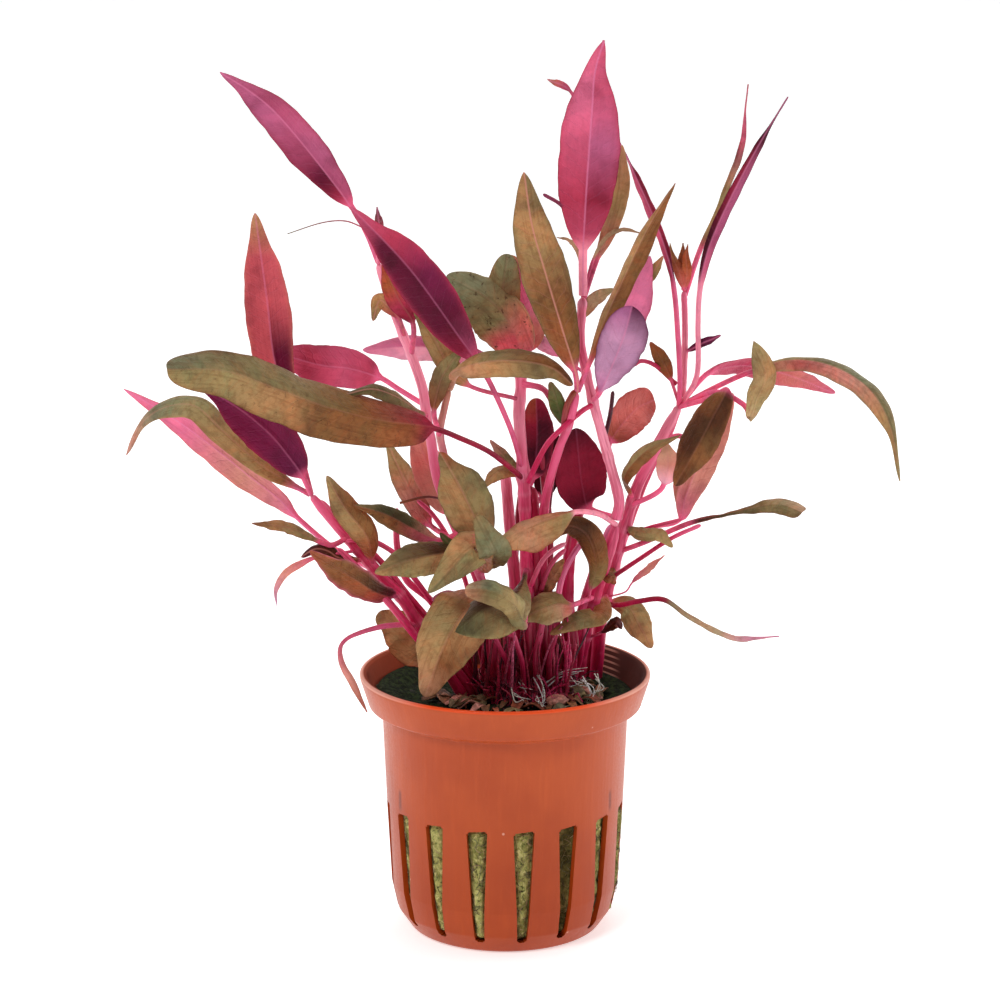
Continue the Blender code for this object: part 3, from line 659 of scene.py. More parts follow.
STEMS = {
    # The main stems
    "stem_left_tall": Stem(1.05, 0.75, (-2.0, 4.5), (
        (485, 600, 3), (455, 525, 1), (438, 480, 0), (431, 440, -0.5), (427, 420, -0.5), (423, 390, 0),
        (411, 354, 1), (401, 330, 2), (389, 296, 3), (378, 262, 4)),
        "magenta magenta hot_pink stem_pink stem_pink"),
    "stem_left_short": Stem(0.8, 0.6, (-2.5, -1.5), (
        (492, 620, -3), (475, 560, -5), (455, 500, -6.5), (444, 455, -7), (440, 432, -7), (444, 410, -7),
        (449, 388, -7)), "magenta hot_pink stem_pink tan_pink"),
    "stem_left_low": Stem(1.2, 0.8, (-6.0, -1.0), (
        (450, 665, -3), (420, 626, -6), (401, 597, -7.5), (380, 575, -8.5), (363, 556, -9),
        (338, 527, -9.5), (311, 495, -10))),
    "stem_left_back": Stem(0.75, 0.55, (-6.0, 3.5), (
        (462, 645, 1), (431, 601, -2), (406, 579, -3), (397, 545, -3), (397, 508, -3))),
    "stem_centre": Stem(1.2, 0.95, (5.5, -3.0), (
        (530, 640, -3), (527, 590, -3), (526, 538, -3), (524, 485, -2.5), (521, 445, -2), (519, 412, -1),
        (521, 385, 0), (520, 366, 0)),
        "deep_magenta deep_magenta magenta magenta hot_pink stem_pink hot_pink"),
    "stem_centre_right": Stem(0.95, 0.7, (9.0, 1.0), (
        (543, 640, 0), (543, 590, -1), (543, 540, -3), (545, 503, -5), (552, 472, -6), (560, 446, -7),
        (569, 424, -8), (577, 392, -8.5))),
    "stem_main": Stem(1.35, 1.1, (14.0, 7.5), (
        (580, 655, 7), (587, 625, 5.5), (593, 600, 4), (605, 562, 2), (616, 525, 0)),
        "deep_magenta magenta magenta hot_pink"),
    "stem_main_upper": Stem(0.95, 0.7, None, (
        (616.5, 518, -0.2), (619, 500, -1), (611, 467, -2), (602, 434, -3), (594, 405, -3),
        (586, 372, -2.5), (581, 345, -2), (581, 320, -2), (583, 297, -2)),
        "hot_pink stem_pink stem_pink hot_pink stem_pink"),
    "stem_right": Stem(1.2, 0.9, (17.5, 11.5), (
        (602, 610, 9), (610, 580, 7.5), (617, 555, 6), (626, 522, 4), (638, 485, 3), (652, 457, 3),
        (667, 428, 3), (679, 406, 3)), "magenta magenta hot_pink hot_pink stem_pink"),
    "stem_right_tip": Stem(0.6, 0.5, None, (
        (682.5, 397, 4), (684, 370, 4.5), (685, 330, 4.5), (684, 291, 4.5)),
        "stem_pink stem_pink hot_pink"),
    # Thinner stems, shoots, strands and threads
    "shoot_left_low_1": Stem(0.95, 0.5, (-7.6, -2.4), (
        (444, 668, -5), (413, 632, -8.5), (391, 605, -10), (366, 577, -11), (338, 548, -12))),
    "shoot_left_low_2": Stem(0.75, 0.45, (-5.0, 0.5), (
        (455, 655, -1), (427, 618, -4.5), (405, 592, -6), (385, 566, -7.5), (352, 533, -8),
        (320, 500, -8.5))),
    "shoot_left_low_3": Stem(0.6, 0.4, (-4.4, 1.5), (
        (452, 640, 0), (432, 603, -3), (412, 575, -5), (398, 556, -7), (372, 541, -9), (345, 541, -10.5))),
    "shoot_left_back": Stem(0.5, 0.4, (-3.0, 5.0), (
        (478, 640, 4), (468, 590, 4), (452, 545, 4), (433, 515, 5), (417, 500, 6))),
    "stem_centre_back": Stem(1.15, 0.95, (2.6, 1.0), (
        (516, 600, 1), (511, 540, 1.5), (508, 505, 2), (505, 470, 2.5)),
        "magenta magenta hot_pink stem_pink"),
    "stem_centre_mid": Stem(1.0, 0.8, (7.2, -0.8), (
        (535, 640, -1.5), (536, 590, -2), (536, 540, -2.5), (534, 500, -2), (530, 486, -1.5)),
        "deep_magenta deep_magenta deep_magenta"),
    "stem_centre_far": Stem(0.9, 0.7, (8.0, 4.5), (
        (546, 640, 4), (548, 590, 4), (549, 540, 4), (546, 495, 4), (541, 450, 4)),
        "purple deep_magenta crimson"),
    "stem_inner": Stem(1.45, 0.9, (10.6, 3.6), (
        (571, 650, 3), (567, 600, 3), (569, 560, 4), (576, 522, 7), (584, 490, 9), (590, 470, 10)),
        "deep_magenta magenta crimson"),
    "shoot_base_1": Stem(0.65, 0.5, (6.5, -5.2), (
        (536, 660, -5), (541, 630, -4.5), (546, 603, -4))),
    "shoot_base_2": Stem(0.5, 0.4, (3.6, -5.4), (
        (523, 668, -6), (517, 645, -7), (509, 622, -8))),
    "shoot_base_3": Stem(0.55, 0.45, (8.8, -3.2), (
        (549, 662, -3), (556, 632, -2.5), (561, 606, -2))),
    "shoot_base_4": Stem(0.5, 0.4, (12.5, 3.4), (
        (579, 664, 3), (583, 640, 2), (585, 618, 1))),
    "shoot_base_5": Stem(0.5, 0.35, (0.5, -4.0), (
        (508, 668, -5), (500, 648, -7), (487, 622, -9))),
    "shoot_base_6": Stem(0.9, 0.8, (12.2, 6.6), (
        (575, 650, 6), (580, 625, 5), (585, 600, 4.5), (594, 570, 4))),
    "stem_main_side": Stem(1.0, 0.7, (12.4, 6.4), (
        (571, 655, 6), (578, 625, 4.5), (585, 600, 3.5), (597, 562, 1.8), (612, 524, 0.5)),
        "deep_magenta magenta hot_pink pink"),
    "stem_stub": Stem(0.75, 0.7, (11.3, 0.2), (
        (568, 660, 0.5), (565, 641, 1))),
    "shoot_right_1": Stem(0.8, 0.6, (16.0, 12.5), (
        (598, 612, 10), (607, 582, 8.5), (620, 550, 7.5), (634, 510, 6), (650, 470, 5), (668, 436, 4.5),
        (680, 403, 4))),
    "shoot_right_2": Stem(0.42, 0.36, None, (
        (614, 576, 4), (641, 558, 2), (672, 538, -1), (701, 525, -4.5))),
    "shoot_right_3": Stem(0.36, 0.3, None, (
        (628, 534, 3), (655, 526, 1), (683, 519, 0.5))),
    "shoot_right_4": Stem(0.4, 0.35, None, (
        (676, 384, 3), (656, 366, 2), (642, 361, 1.5), (633, 366, 1))),
    "shoot_centre_1": Stem(0.8, 0.6, (6.5, 3.0), (
        (532, 640, 4), (538, 590, 4), (544, 545, 4), (548, 505, 4), (552, 470, 5)),
        "maroon crimson maroon"),
    "shoot_centre_2": Stem(0.7, 0.5, (4.0, 3.5), (
        (518, 640, 4), (514, 590, 5), (516, 545, 5), (520, 500, 5), (527, 470, 5)),
        "magenta crimson crimson"),
    "shoot_centre_3": Stem(0.6, 0.5, (9.5, -1.8), (
        (551, 640, -2), (557, 605, -3), (562, 578, -3.5), (575, 552, -3), (596, 528, -2)),
        "magenta hot_pink pink"),
    "shoot_centre_4": Stem(0.45, 0.4, None, (
        (531, 585, -4.5), (541, 563, -5.5), (552, 551, -6), (566, 543, -6)), "magenta stem_pink"),
    "shoot_centre_5": Stem(0.45, 0.4, None, (
        (541, 590, -3), (548, 570, -4.5), (556, 558, -5), (566, 549, -5)), "crimson hot_pink"),
    "shoot_centre_red": Stem(0.55, 0.45, None, (
        (524, 384, -1), (543, 389, -4), (553, 404, -6), (562, 424, -7)), "hot_pink crimson"),
    "shoot_centre_cross": Stem(0.5, 0.45, None, (
        (528, 482, -4.5), (546, 446, -8), (566, 425, -9), (582, 411, -6), (594, 404, -3)),
        "magenta magenta"),
    "shoot_centre_brown": Stem(0.6, 0.5, None, (
        (564, 430, -7.5), (566, 410, -8.5), (571, 397, -9), (577, 389, -9)), "crimson rust"),
    "shoot_main_dark": Stem(0.4, 0.35, None, (
        (604, 440, -2), (610, 415, -1), (613, 391, -3)), "maroon maroon"),
    "shoot_main_left": Stem(0.42, 0.3, None, (
        (583, 268, -2), (577, 232, -3), (563, 207, -6), (543, 194, -9)), "crimson purple"),
    "shoot_front_pink": Stem(0.35, 0.3, None, (
        (487, 616, -10), (500, 628, -9), (513, 638, -7))),
    "thread_left": Stem(0.24, 0.2, None, (
        (400, 503, 6), (425, 497, 5), (444, 499, 3)), "brown maroon"),
    "thread_top": Stem(0.13, 0.08, None, (
        (364, 228, 2), (345, 221, 1), (321, 223, -1), (287, 234, -2)), "rose sage"),
}

FRONT = (0.0, -1.0, 0.0)
UP_FRONT = (0.0, -0.75, 0.66)
DOWN_FRONT = (0.0, -0.9, -0.4)

# How a leaf is finished: the colours of its seen side from base to tip, those of the half to
# the right of the midrib where they differ, the hidden side's, whether the seen side is the
# lower one, how far its edges ripple in mm, its fold along the midrib, its veins from 0 to 1,
# each half's width, its rim, the petiole's colour, how far its tip is drawn out, how pitted
# it is, and its widest place and how blunt it is where they differ from the solid's
Look = namedtuple(
    "Look",
    "seen other hidden under wave fold veins halves rim petiole drawn pits widest blunt",
    defaults=("", "olive tan", False, 0.35, 0.0, 0.6, (1.0, 1.0), "rust", "hot_pink", 0.25, 0.0, 0, 0),
)


def upper(seen, **finish):
    """The look of a leaf that shows its upper side."""
    return Look(seen, hidden="rose coral", **{"fold": -0.1, **finish})


def lower(seen, **finish):
    """The look of a leaf that shows its lower side."""
    return Look(seen, under=True, **{"fold": 0.1, "rim": seen.split()[1], **finish})


COLOUR_LOOKS = {
    "olive": upper("tan olive khaki"),
    "tan": upper("salmon tan tan"),
    "rose": lower("cherry raspberry rose"),
    "mauve": lower("mauve lilac mauve"),
    "purple": lower("purple plum purple"),
    "crimson": lower("crimson crimson maroon"),
    "orange": upper("rust orange rust"),
}

# Leaves: the stem each grows on, half width, how many places its petiole takes, the way
# that its seen face looks, how far its edges lift (as a share of the half width), its
# widest place and how blunt its ends are, its colour, its route from the stem, its look
# where it has one of its own, and the radius of its petiole
Leaf = namedtuple(
    "Leaf",
    "stem half_width petiole face lift widest blunt colour route look petiole_radius",
    defaults=(None, PETIOLE_RADIUS),
)

LEAVES = {
    "leaf_left_tall_1": Leaf("stem_left_tall", 3.9, 3, (-0.2, -1, -0.3), 0.15, 0.45, 0.8, "purple", (
        (378, 262, 3), (367, 234, 3), (352, 207, 2), (324, 169, 0), (279, 115, -6), (248, 89, -10),
        (220, 72, -15)),
        lower("cherry wine raspberry mauve_pink mauve_pink mauve_pink",
            other="raspberry mauve_pink raspberry mauve_pink", veins=0.7, rim="crimson", drawn=0.35)),
    "leaf_left_tall_2": Leaf("stem_left_tall", 4.1, 3, (0.1, -1, -0.1), 0.1, 0.4, 0.65, "rose", (
        (420, 404, 1), (400, 390, 3), (379, 377, 5), (350, 368, 7), (318, 364, 9), (268, 350, 12)),
        lower("cherry rose cherry rose", fold=0.0, veins=0.4)),
    # The wine at the base of its right half is painted shade, where another leaf overlaps it
    "leaf_left_low_1": Leaf("stem_left_low", 4.2, 3, FRONT, 0.1, 0.42, 0.7, "rose", (
        (312, 489, -7.5), (301, 455, -5), (287, 405, -1), (274, 357, 0), (268, 307, -3), (262, 262, -7),
        (255, 213, -13)),
        lower("coral_red coral_red coral_red coral_red tan", other="wine wine coral_red coral_red tan",
            rim="coral", veins=0.45)),
    "leaf_left_low_2": Leaf("stem_left_low", 4.3, 2, (0.2, -1, -0.1), 0.12, 0.45, 0.75, "purple", (
        (310, 490, -12), (303, 477, -13), (290, 458, -14.5), (270, 434, -16), (240, 409, -18),
        (198, 383, -20)),
        lower("plum purple purple plum", veins=0.35, rim="crimson", drawn=0.4)),
    "leaf_left_low_3": Leaf("stem_left_low", 2.6, 1, (0, -0.7, 0.7), -0.2, 0.5, 0.7, "olive", (
        (308, 494, -9), (264, 467, -6), (222, 430, -3), (195, 406, 0), (166, 407, 3), (142, 423, 5),
        (126, 455, 7)),
        upper("brown tan khaki sage salmon", rim="tan", veins=0.3, drawn=0.5)),
    "leaf_left_low_4": Leaf("stem_left_low", 3.0, 4, DOWN_FRONT, 0.1, 0.45, 0.8, "rose", (
        (369, 570, -5), (347, 556, -2), (328, 544, 1), (298, 518, 5), (280, 498, 8), (250, 475, 12),
        (215, 447, 16), (170, 415, 21), (124, 389, 25)),
        lower("rose_pink salmon rose_pink rose_pink", fold=0.05, rim="coral", veins=0.7,
            halves=(1.3, 1.0))),
    "leaf_centre_1": Leaf("stem_centre", 4.3, 4, (0.3, -1, 0), 0.1, 0.45, 0.8, "purple", (
        (521, 470, -4), (511, 430, -6), (490, 383, -9), (476, 361, -10), (456, 333, -12), (435, 303, -15),
        (412, 272, -18), (387, 244, -21), (350, 207, -26)),
        lower("crimson wine wine wine rose", other="raspberry wine purple cherry rose", rim="cherry",
            veins=0.35, drawn=0.35)),
    "leaf_centre_2": Leaf("stem_centre", 5.6, 5, (0.1, -0.8, 0.6), -0.25, 0.48, 0.42, "olive", (
        (521, 480, -5), (507, 465, -7), (488, 451, -9), (462, 439, -12), (432, 428, -14), (379, 420, -17),
        (330, 408, -21), (280, 390, -26), (225, 371, -31), (167, 369, -35.6)),
        upper("rust brown brown tan khaki khaki", other="crimson brown olive olive sage", rim="brown",
            wave=0.6, veins=0.12, pits=0.45, drawn=0.0, petiole="crimson", blunt=0.36)),
    "leaf_centre_3": Leaf("stem_centre", 3.0, 2, DOWN_FRONT, 0.2, 0.5, 0.6, "rose", (
        (518, 372, 2), (490, 358, 6), (440, 347, 10), (400, 346, 13), (363, 350, 16)),
        lower("rose_pink pale_pink pink", other="raspberry mauve_pink pink", veins=0.3)),
    "leaf_centre_4": Leaf("stem_centre", 6.0, 2, (-0.1, -1, 0.5), -0.2, 0.45, 0.5, "olive", (
        (523, 372, -3), (524, 358, -4), (510, 324, -5), (487, 298, -4), (447, 275, -1)),
        upper("coral_red coral_red olive olive sage sage", other="coral_red coral olive sage sage",
            rim="khaki", wave=0.9, veins=0.1, pits=0.8, drawn=0.0, halves=(1.0, 0.7))),
    "leaf_centre_5": Leaf("stem_centre", 4.3, 2, (0.2, -1, 0), 0.1, 0.5, 0.6, "rose", (
        (523, 370, 2.5), (527, 352, 3), (527, 320, 3), (520, 285, 3), (508, 255, 3)),
        lower("coral salmon pink rose_pink tan", rim="tan", veins=0.4)),
    "leaf_left_short_1": Leaf("stem_left_short", 2.9, 2, (0, -0.8, 0.6), -0.3, 0.45, 0.5, "tan", (
        (450, 386, -8.5), (457, 372, -12), (485, 362, -14.5), (520, 361, -15), (552, 368, -14.5),
        (573, 385, -14)),
        upper("tan olive brown dark_brown", other="tan_pink tan olive brown", rim="olive", veins=0.3,
            petiole="tan_pink"), 0.8),
    # Its right half is a little darker, crimson and mauve pink: painted shade on the side of its fold
    # turned from the light
    "leaf_main_1": Leaf("stem_main_upper", 5.5, 2, (0, -1, -0.05), 0.12, 0.45, 0.85, "rose", (
        (583, 285, -2), (583, 252, -3), (585, 212, -5), (588, 165, -8), (592, 110, -12), (595, 72, -15),
        (604, 40, -18)),
        lower("rose cherry rose rose_pink rose", other="rose crimson mauve_pink rose rose", veins=0.8,
            petiole="stem_pink", drawn=0.3), 0.8),
    "leaf_main_2": Leaf("stem_centre_right", 4.3, 2, (0.2, -1, 0.1), -0.1, 0.5, 0.75, "tan", (
        (577, 385, -11), (575, 372, -12), (561, 325, -13), (546, 275, -12), (532, 225, -10),
        (524, 172, -6)),
        upper("rust brown tan tan", other="brown brown tan olive", rim="olive", veins=1.0, drawn=0.1)),
    "leaf_main_3": Leaf("stem_centre_right", 2.4, 2, (-0.8, -0.8, 0.2), -0.3, 0.5, 0.8, "tan", (
        (582, 387, -9.5), (588, 366, -11), (604, 322, -11), (624, 278, -9), (648, 228, -5), (675, 183, 0)),
        upper("brown tan tan brown", other="rust brown brown brown", rim="brown", veins=0.3)),
    "leaf_main_4": Leaf("stem_main_upper", 4.3, 2, (0.1, -1, 0), 0.1, 0.55, 0.5, "mauve", (
        (596, 401, -6), (600, 392, -10), (612, 365, -14.5), (624, 335, -15), (632, 306, -14)),
        lower("mauve lilac lilac mauve", other="lilac lilac lilac plum", rim="plum", wave=0.6, veins=0.5,
            widest=0.66, blunt=0.62, drawn=0.0)),
    "leaf_right_1": Leaf("stem_right", 1.5, 4, (0.7, -1, 0), 0.3, 0.5, 0.8, "crimson", (
        (679, 398, 1), (680, 380, 0), (678, 338, 0), (674, 290, 0), (664, 250, 2), (650, 212, 5),
        (636, 180, 9), (620, 143, 14)),
        lower("crimson rose rose mauve_pink", other="maroon crimson wine", drawn=0.5, halves=(0.9, 0.7))),
    "leaf_right_2": Leaf("stem_right", 1.9, 4, (-0.5, -1, 0), 0.3, 0.35, 0.8, "mauve", (
        (689, 400, 2.5), (697, 375, 2), (698, 324, 2), (700, 290, 2), (709, 250, 3), (726, 209, 5),
        (754, 155, 10), (788, 97, 18)),
        lower("maroon maroon crimson maroon plum", other="rose_pink mauve_pink mauve_pink maroon plum",
            halves=(0.5, 0.75), drawn=0.6, petiole="stem_pink")),
    "leaf_right_3": Leaf("stem_right_tip", 1.1, 2, (-0.5, -1, 0), 0.2, 0.5, 0.7, "rose", (
        (686, 296, 6), (700, 250, 8), (722, 200, 12), (741, 150, 17), (745, 112, 21), (748, 84, 24)),
        upper("tan khaki rose rose", rim="brown", halves=(0.6, 0.6), drawn=0.5, veins=0.2)),
    "bud_right": Leaf("stem_right_tip", 2.2, 1, FRONT, 0.2, 0.4, 0.6, "orange", (
        (684, 286, 4.5), (683, 275, 4.5), (683, 260, 4.5), (683, 243, 5)),
        upper("coral rust brown", halves=(0.55, 0.55), veins=0.2, blunt=0.9)),
    "leaf_right_4": Leaf("stem_right", 3.1, 2, (0, -0.8, -0.6), 0.15, 0.45, 0.6, "rose", (
        (686, 396, 5.5), (708, 373, 9), (735, 364, 13), (765, 367, 18), (800, 378, 24), (835, 393, 30)),
        lower("rose cherry coral rose", rim="rose", veins=0.4)),
    "leaf_right_5": Leaf("stem_right", 2.6, 3, (0.8, -1, 0.2), 0.15, 0.5, 0.5, "tan", (
        (689, 408, 0), (715, 392, -4), (744, 405, -7), (750, 418, -8), (757, 400, -8.5), (766, 375, -9),
        (754, 341, -9)),
        upper("pale_tan khaki tan khaki", rim="khaki", halves=(1.35, 0.95), veins=0.1, drawn=0.0,
            widest=0.6, blunt=0.9, wave=0.1)),
    "leaf_right_6": Leaf("stem_right", 3.4, 3, (0, -0.6, 0.8), -0.3, 0.45, 0.7, "olive", (
        (690, 402, 4), (718, 386, 2), (750, 372, -1), (790, 360, -6), (832, 366, -12), (869, 389, -18),
        (890, 426, -23), (900, 481, -27)),
        upper("tan khaki sage olive khaki", other="khaki coral salmon tan khaki", rim="khaki", wave=0.4,
            halves=(0.72, 0.62), drawn=0.6, veins=0.2)),
    "leaf_right_7": Leaf("stem_right", 5.0, 3, (-0.3, -0.9, 0.4), -0.2, 0.45, 0.7, "olive", (
        (686, 412, -1), (710, 398, -5), (727, 390, -8), (714, 415, -9.5), (697, 447, -10), (675, 486, -9)),
        upper("dark_brown dark_brown brown dark_brown", other="brown dark_brown dark_brown brown",
            rim="brown", veins=0.1, halves=(0.6, 0.85), widest=0.5, blunt=0.55)),
    "leaf_right_8": Leaf("stem_right", 2.4, 2, FRONT, 0.1, 0.5, 0.8, "rose", (
        (664, 442, 6), (680, 436, 7), (690, 450, 7), (688, 480, 6), (680, 520, 4)),
        lower("coral salmon salmon salmon", veins=0.15, halves=(1.0, 1.2))),
    "leaf_main_7": Leaf("stem_main_upper", 3.7, 2, (0.1, -1, 0.1), 0.1, 0.55, 0.4, "rose", (
        (606, 452, 1), (610, 442, 4), (622, 424, 7), (637, 408, 11), (654, 400, 15)),
        lower("rust coral coral red", rim="red", veins=0.2, drawn=0.0)),
    "leaf_main_8": Leaf("stem_main_upper", 5.0, 2, FRONT, 0.1, 0.45, 0.6, "crimson", (
        (600, 512, 3.5), (590, 508, 5), (583, 490, 6), (579, 460, 6), (576, 428, 6)),
        lower("maroon crimson crimson maroon", veins=0.15, drawn=0.1)),
    "leaf_centre_6": Leaf("stem_centre", 3.2, 2, FRONT, 0.1, 0.5, 0.45, "crimson", (
        (530, 490, 1), (533, 478, 3), (536, 455, 4), (537, 430, 4.5), (536, 398, 5)),
        lower("maroon maroon crimson rust", other="maroon maroon maroon crimson", rim="crimson", veins=0.2,
            drawn=0.1)),
    "leaf_low_1": Leaf("stem_left_short", 4.7, 2, (0.1, -1, 0.3), -0.1, 0.45, 0.7, "olive", (
        (482, 566, -8), (485, 540, -11), (474, 516, -13), (459, 485, -13), (440, 452, -12)),
        upper("olive tan tan olive", other="tan khaki khaki rust", rim="olive", veins=0.3, drawn=0.4)),
    "leaf_low_2": Leaf("stem_main", 3.3, 3, (0, -0.85, 0.5), -0.1, 0.45, 0.75, "tan", (
        (613, 520, -3), (598, 514, -6), (575, 512, -9), (550, 519, -12), (525, 528, -14.5),
        (497, 543, -17)),
        upper("khaki tan tan_pink tan", other="rust tan_pink tan_pink khaki", petiole="stem_pink",
            widest=0.62, blunt=0.55, halves=(1.5, 0.5), veins=0.1)),
    "leaf_low_3": Leaf("stem_left_short", 3.1, 1, (-0.3, -1, 0.3), 0.1, 0.45, 0.7, "tan", (
        (487, 580, -10), (474, 548, -17), (450, 570, -20), (428, 593, -22)),
        upper("tan tan khaki olive", other="rust tan_pink tan khaki", rim="khaki", halves=(1.25, 1.25),
            veins=0.1)),
    "leaf_low_4": Leaf("stem_left_short", 3.2, 2, (0, -0.8, 0.6), -0.2, 0.45, 0.7, "olive", (
        (478, 570, -7), (463, 552, -12), (445, 553, -15), (410, 560, -19), (375, 573, -23)),
        upper("olive tan khaki tan", other="dark_olive dark_brown olive khaki", rim="khaki",
            halves=(1.1, 1.1), veins=0.1)),
    "leaf_low_5": Leaf("stem_left_short", 2.2, 2, (0, -0.8, 0.6), -0.1, 0.45, 0.8, "olive", (
        (464, 534, -8), (440, 540, -9.5), (412, 528, -11), (385, 514, -13), (354, 505, -16)),
        upper("rose brown brown", other="salmon dark_olive dark_olive olive", rim="olive", veins=0.1,
            pits=0.6)),
    "leaf_left_back_1": Leaf("stem_left_tall", 2.4, 2, (0.2, -1, 0), 0.1, 0.4, 0.6, "tan", (
        (452, 545, 3.5), (430, 525, 5), (415, 500, 7), (402, 475, 10), (387, 441, 15)),
        upper("coral salmon tan khaki", rim="sage", veins=0.4)),
    "leaf_left_low_5": Leaf("stem_left_low", 2.6, 1, (0.2, -1, 0.2), -0.1, 0.5, 0.7, "tan", (
        (380, 560, -11), (367, 537, -14), (345, 508, -16), (327, 476, -19)),
        upper("rust tan khaki", other="rust brown brown olive", veins=0.2)),
    "leaf_left_low_6": Leaf("stem_left_low", 3.3, 1, (0, -0.9, -0.4), 0.2, 0.45, 0.7, "crimson", (
        (394, 604, -10), (377, 593, -13), (353, 578, -16), (331, 564, -19), (310, 551, -22)),
        upper("crimson rust brown rust", other="maroon dark_brown brown rust", rim="rose_pink", veins=0.1,
            wave=0.6)),
    "leaf_left_low_7": Leaf("stem_left_low", 1.3, 3, UP_FRONT, 0, 0.5, 0.8, "tan", (
        (346, 540, -11.5), (332, 545, -12), (318, 541, -13), (290, 528, -16), (252, 523, -21)),
        upper("olive khaki tan brown", veins=0.2)),
    "leaf_low_6": Leaf("stem_left_low", 4.4, 1, (0, -1, 0.2), 0.1, 0.5, 0.5, "tan", (
        (428, 648, 0), (415, 644, 4), (403, 632, 5), (390, 622, 6), (376, 616, 7)),
        upper("rust brown tan tan", veins=0.1)),
    "leaf_low_7": Leaf("stem_left_short", 5.9, 1, (-0.1, -1, 0.3), -0.1, 0.45, 0.55, "tan", (
        (484, 602, -9), (470, 606, -13.5), (455, 625, -16), (440, 655, -17.5), (425, 697, -18.5)),
        upper("rust tan_pink tan brown tan_pink", other="tan_pink tan khaki tan tan_pink", rim="tan",
            wave=0.5, veins=0.2, pits=0.1)),
    # Its upper half is dark brown: painted shade in the hollow under the rolled rim above it
    "leaf_low_8": Leaf("stem_centre", 5.2, 1, (0, -0.6, 0.9), -0.5, 0.5, 0.45, "olive", (
        (526, 572, -6), (520, 590, -14), (506, 600, -20), (480, 612, -23.5), (455, 632, -23.5)),
        upper("dark_olive olive olive dark_olive", other="dark_brown dark_brown dark_brown dark_olive",
            rim="khaki", veins=0.0, pits=0.2, drawn=0.0, widest=0.7, blunt=0.9)),
    "leaf_low_9": Leaf("stem_main", 3.4, 2, UP_FRONT, -0.1, 0.45, 0.6, "olive", (
        (588, 606, -1), (572, 605, -4), (558, 604, -6), (540, 610, -7.5), (522, 619, -8)),
        upper("coral tan_pink khaki khaki", other="tan khaki olive", rim="pale_tan", veins=0.2)),
    "leaf_right_low_1": Leaf("stem_right", 2.7, 1, UP_FRONT, -0.1, 0.5, 0.6, "tan", (
        (612, 602, 9), (628, 606, 8), (640, 626, 7), (652, 648, 6)),
        upper("rust khaki tan tan", rim="tan", veins=0.2)),
    "leaf_right_low_2": Leaf("stem_right", 1.1, 4, (0, -0.7, 0.7), -0.2, 0.5, 0.8, "tan", (
        (608, 612, 5.5), (620, 605, 3), (640, 601, 1), (665, 600, -1), (694, 619, -5), (735, 637, -9),
        (779, 636, -14)),
        upper("sage pale_tan pale_tan pale_pink pink", petiole="deep_magenta", halves=(0.6, 0.6), veins=0.1,
            rim="khaki", drawn=0.3)),
    "leaf_right_low_3": Leaf("stem_right", 1.9, 1, UP_FRONT, -0.2, 0.5, 0.55, "olive", (
        (628, 530, 2), (643, 532, 0), (660, 534, -2), (673, 547, -3)),
        upper("olive khaki khaki", rim="tan", veins=0.1, halves=(0.8, 0.9))),
    "leaf_right_low_4": Leaf("stem_right", 1.9, 3, UP_FRONT, -0.2, 0.45, 0.7, "olive", (
        (625, 556, 4), (645, 542, 3), (690, 523, -2), (730, 513, -10), (775, 504, -18), (802, 512, -24)),
        upper("crimson brown olive pale_tan", other="maroon dark_olive olive olive", rim="brown",
            widest=0.88, blunt=0.3, drawn=0.0, veins=0.1)),
    "leaf_left_low_8": Leaf("stem_left_low", 0.9, 2, FRONT, 0, 0.5, 0.8, "crimson", (
        (412, 632, -9), (380, 627, -12), (345, 640, -13), (341, 660, -14), (353, 684, -14),
        (367, 712, -14)),
        lower("rose rose salmon rust", veins=0.1, rim="rust", halves=(0.8, 0.8), widest=0.72)),
    "leaf_left_tall_small": Leaf("stem_left_tall", 2.3, 2, (0.2, -1, 0), 0.1, 0.5, 0.7, "crimson", (
        (416, 352, -2.5), (413, 324, -2.5), (398, 298, -2), (383, 262, -1)),
        upper("crimson cherry orange red", veins=0.2, rim="crimson")),
    "leaf_left_tall_curled": Leaf("stem_left_tall", 1.4, 2, (0.2, -1, 0), 0.2, 0.5, 0.6, "tan", (
        (409, 332, -1), (398, 318, -1.5), (388, 306, -2), (379, 301, -2), (373, 321, -1.5)),
        upper("cherry tan khaki")),
    "leaf_left_tall_spike": Leaf("stem_left_tall", 0.8, 2, FRONT, 0.1, 0.5, 0.8, "crimson", (
        (379, 262, 2), (380, 240, -8), (379, 222, -16), (377, 207, -22)),
        lower("crimson crimson maroon")),
    "leaf_left_tall_over": Leaf("stem_left_tall", 1.9, 1, (0, -0.7, 0.7), -0.3, 0.5, 0.6, "olive", (
        (427, 418, -2), (415, 408, -6), (395, 396, -10), (372, 389, -13), (346, 394, -16)),
        upper("brown olive dark_olive", rim="brown")),
    "leaf_left_back_2": Leaf("stem_left_tall", 3.3, 1, FRONT, 0.1, 0.5, 0.5, "rose", (
        (448, 514, 5), (438, 488, 7), (426, 460, 8), (414, 428, 9)),
        lower("salmon salmon coral salmon", veins=0.15)),
    "leaf_left_short_small": Leaf("stem_left_short", 2.0, 2, (-0.3, -1, 0.2), 0.1, 0.55, 0.6, "olive", (
        (438, 436, -9), (434, 412, -9.5), (440, 382, -10), (449, 366, -10.5), (461, 350, -11)),
        upper("rust olive khaki", rim="brown", veins=0.2)),
    "leaf_left_low_curled": Leaf("stem_left_low", 1.6, 1, UP_FRONT, -0.3, 0.5, 0.6, "crimson", (
        (356, 566, -10), (340, 558, -12), (328, 551, -13), (315, 549, -14), (301, 557, -14)),
        upper("rust dark_brown maroon")),
    "leaf_left_low_hanging": Leaf("stem_left_low", 0.7, 2, FRONT, 0, 0.4, 0.7, "mauve", (
        (345, 560, -11), (318, 557, -14), (300, 564, -15), (285, 574, -16), (276, 590, -16),
        (277, 606, -16)),
        lower("rose salmon lilac", veins=0.2), 0.3),
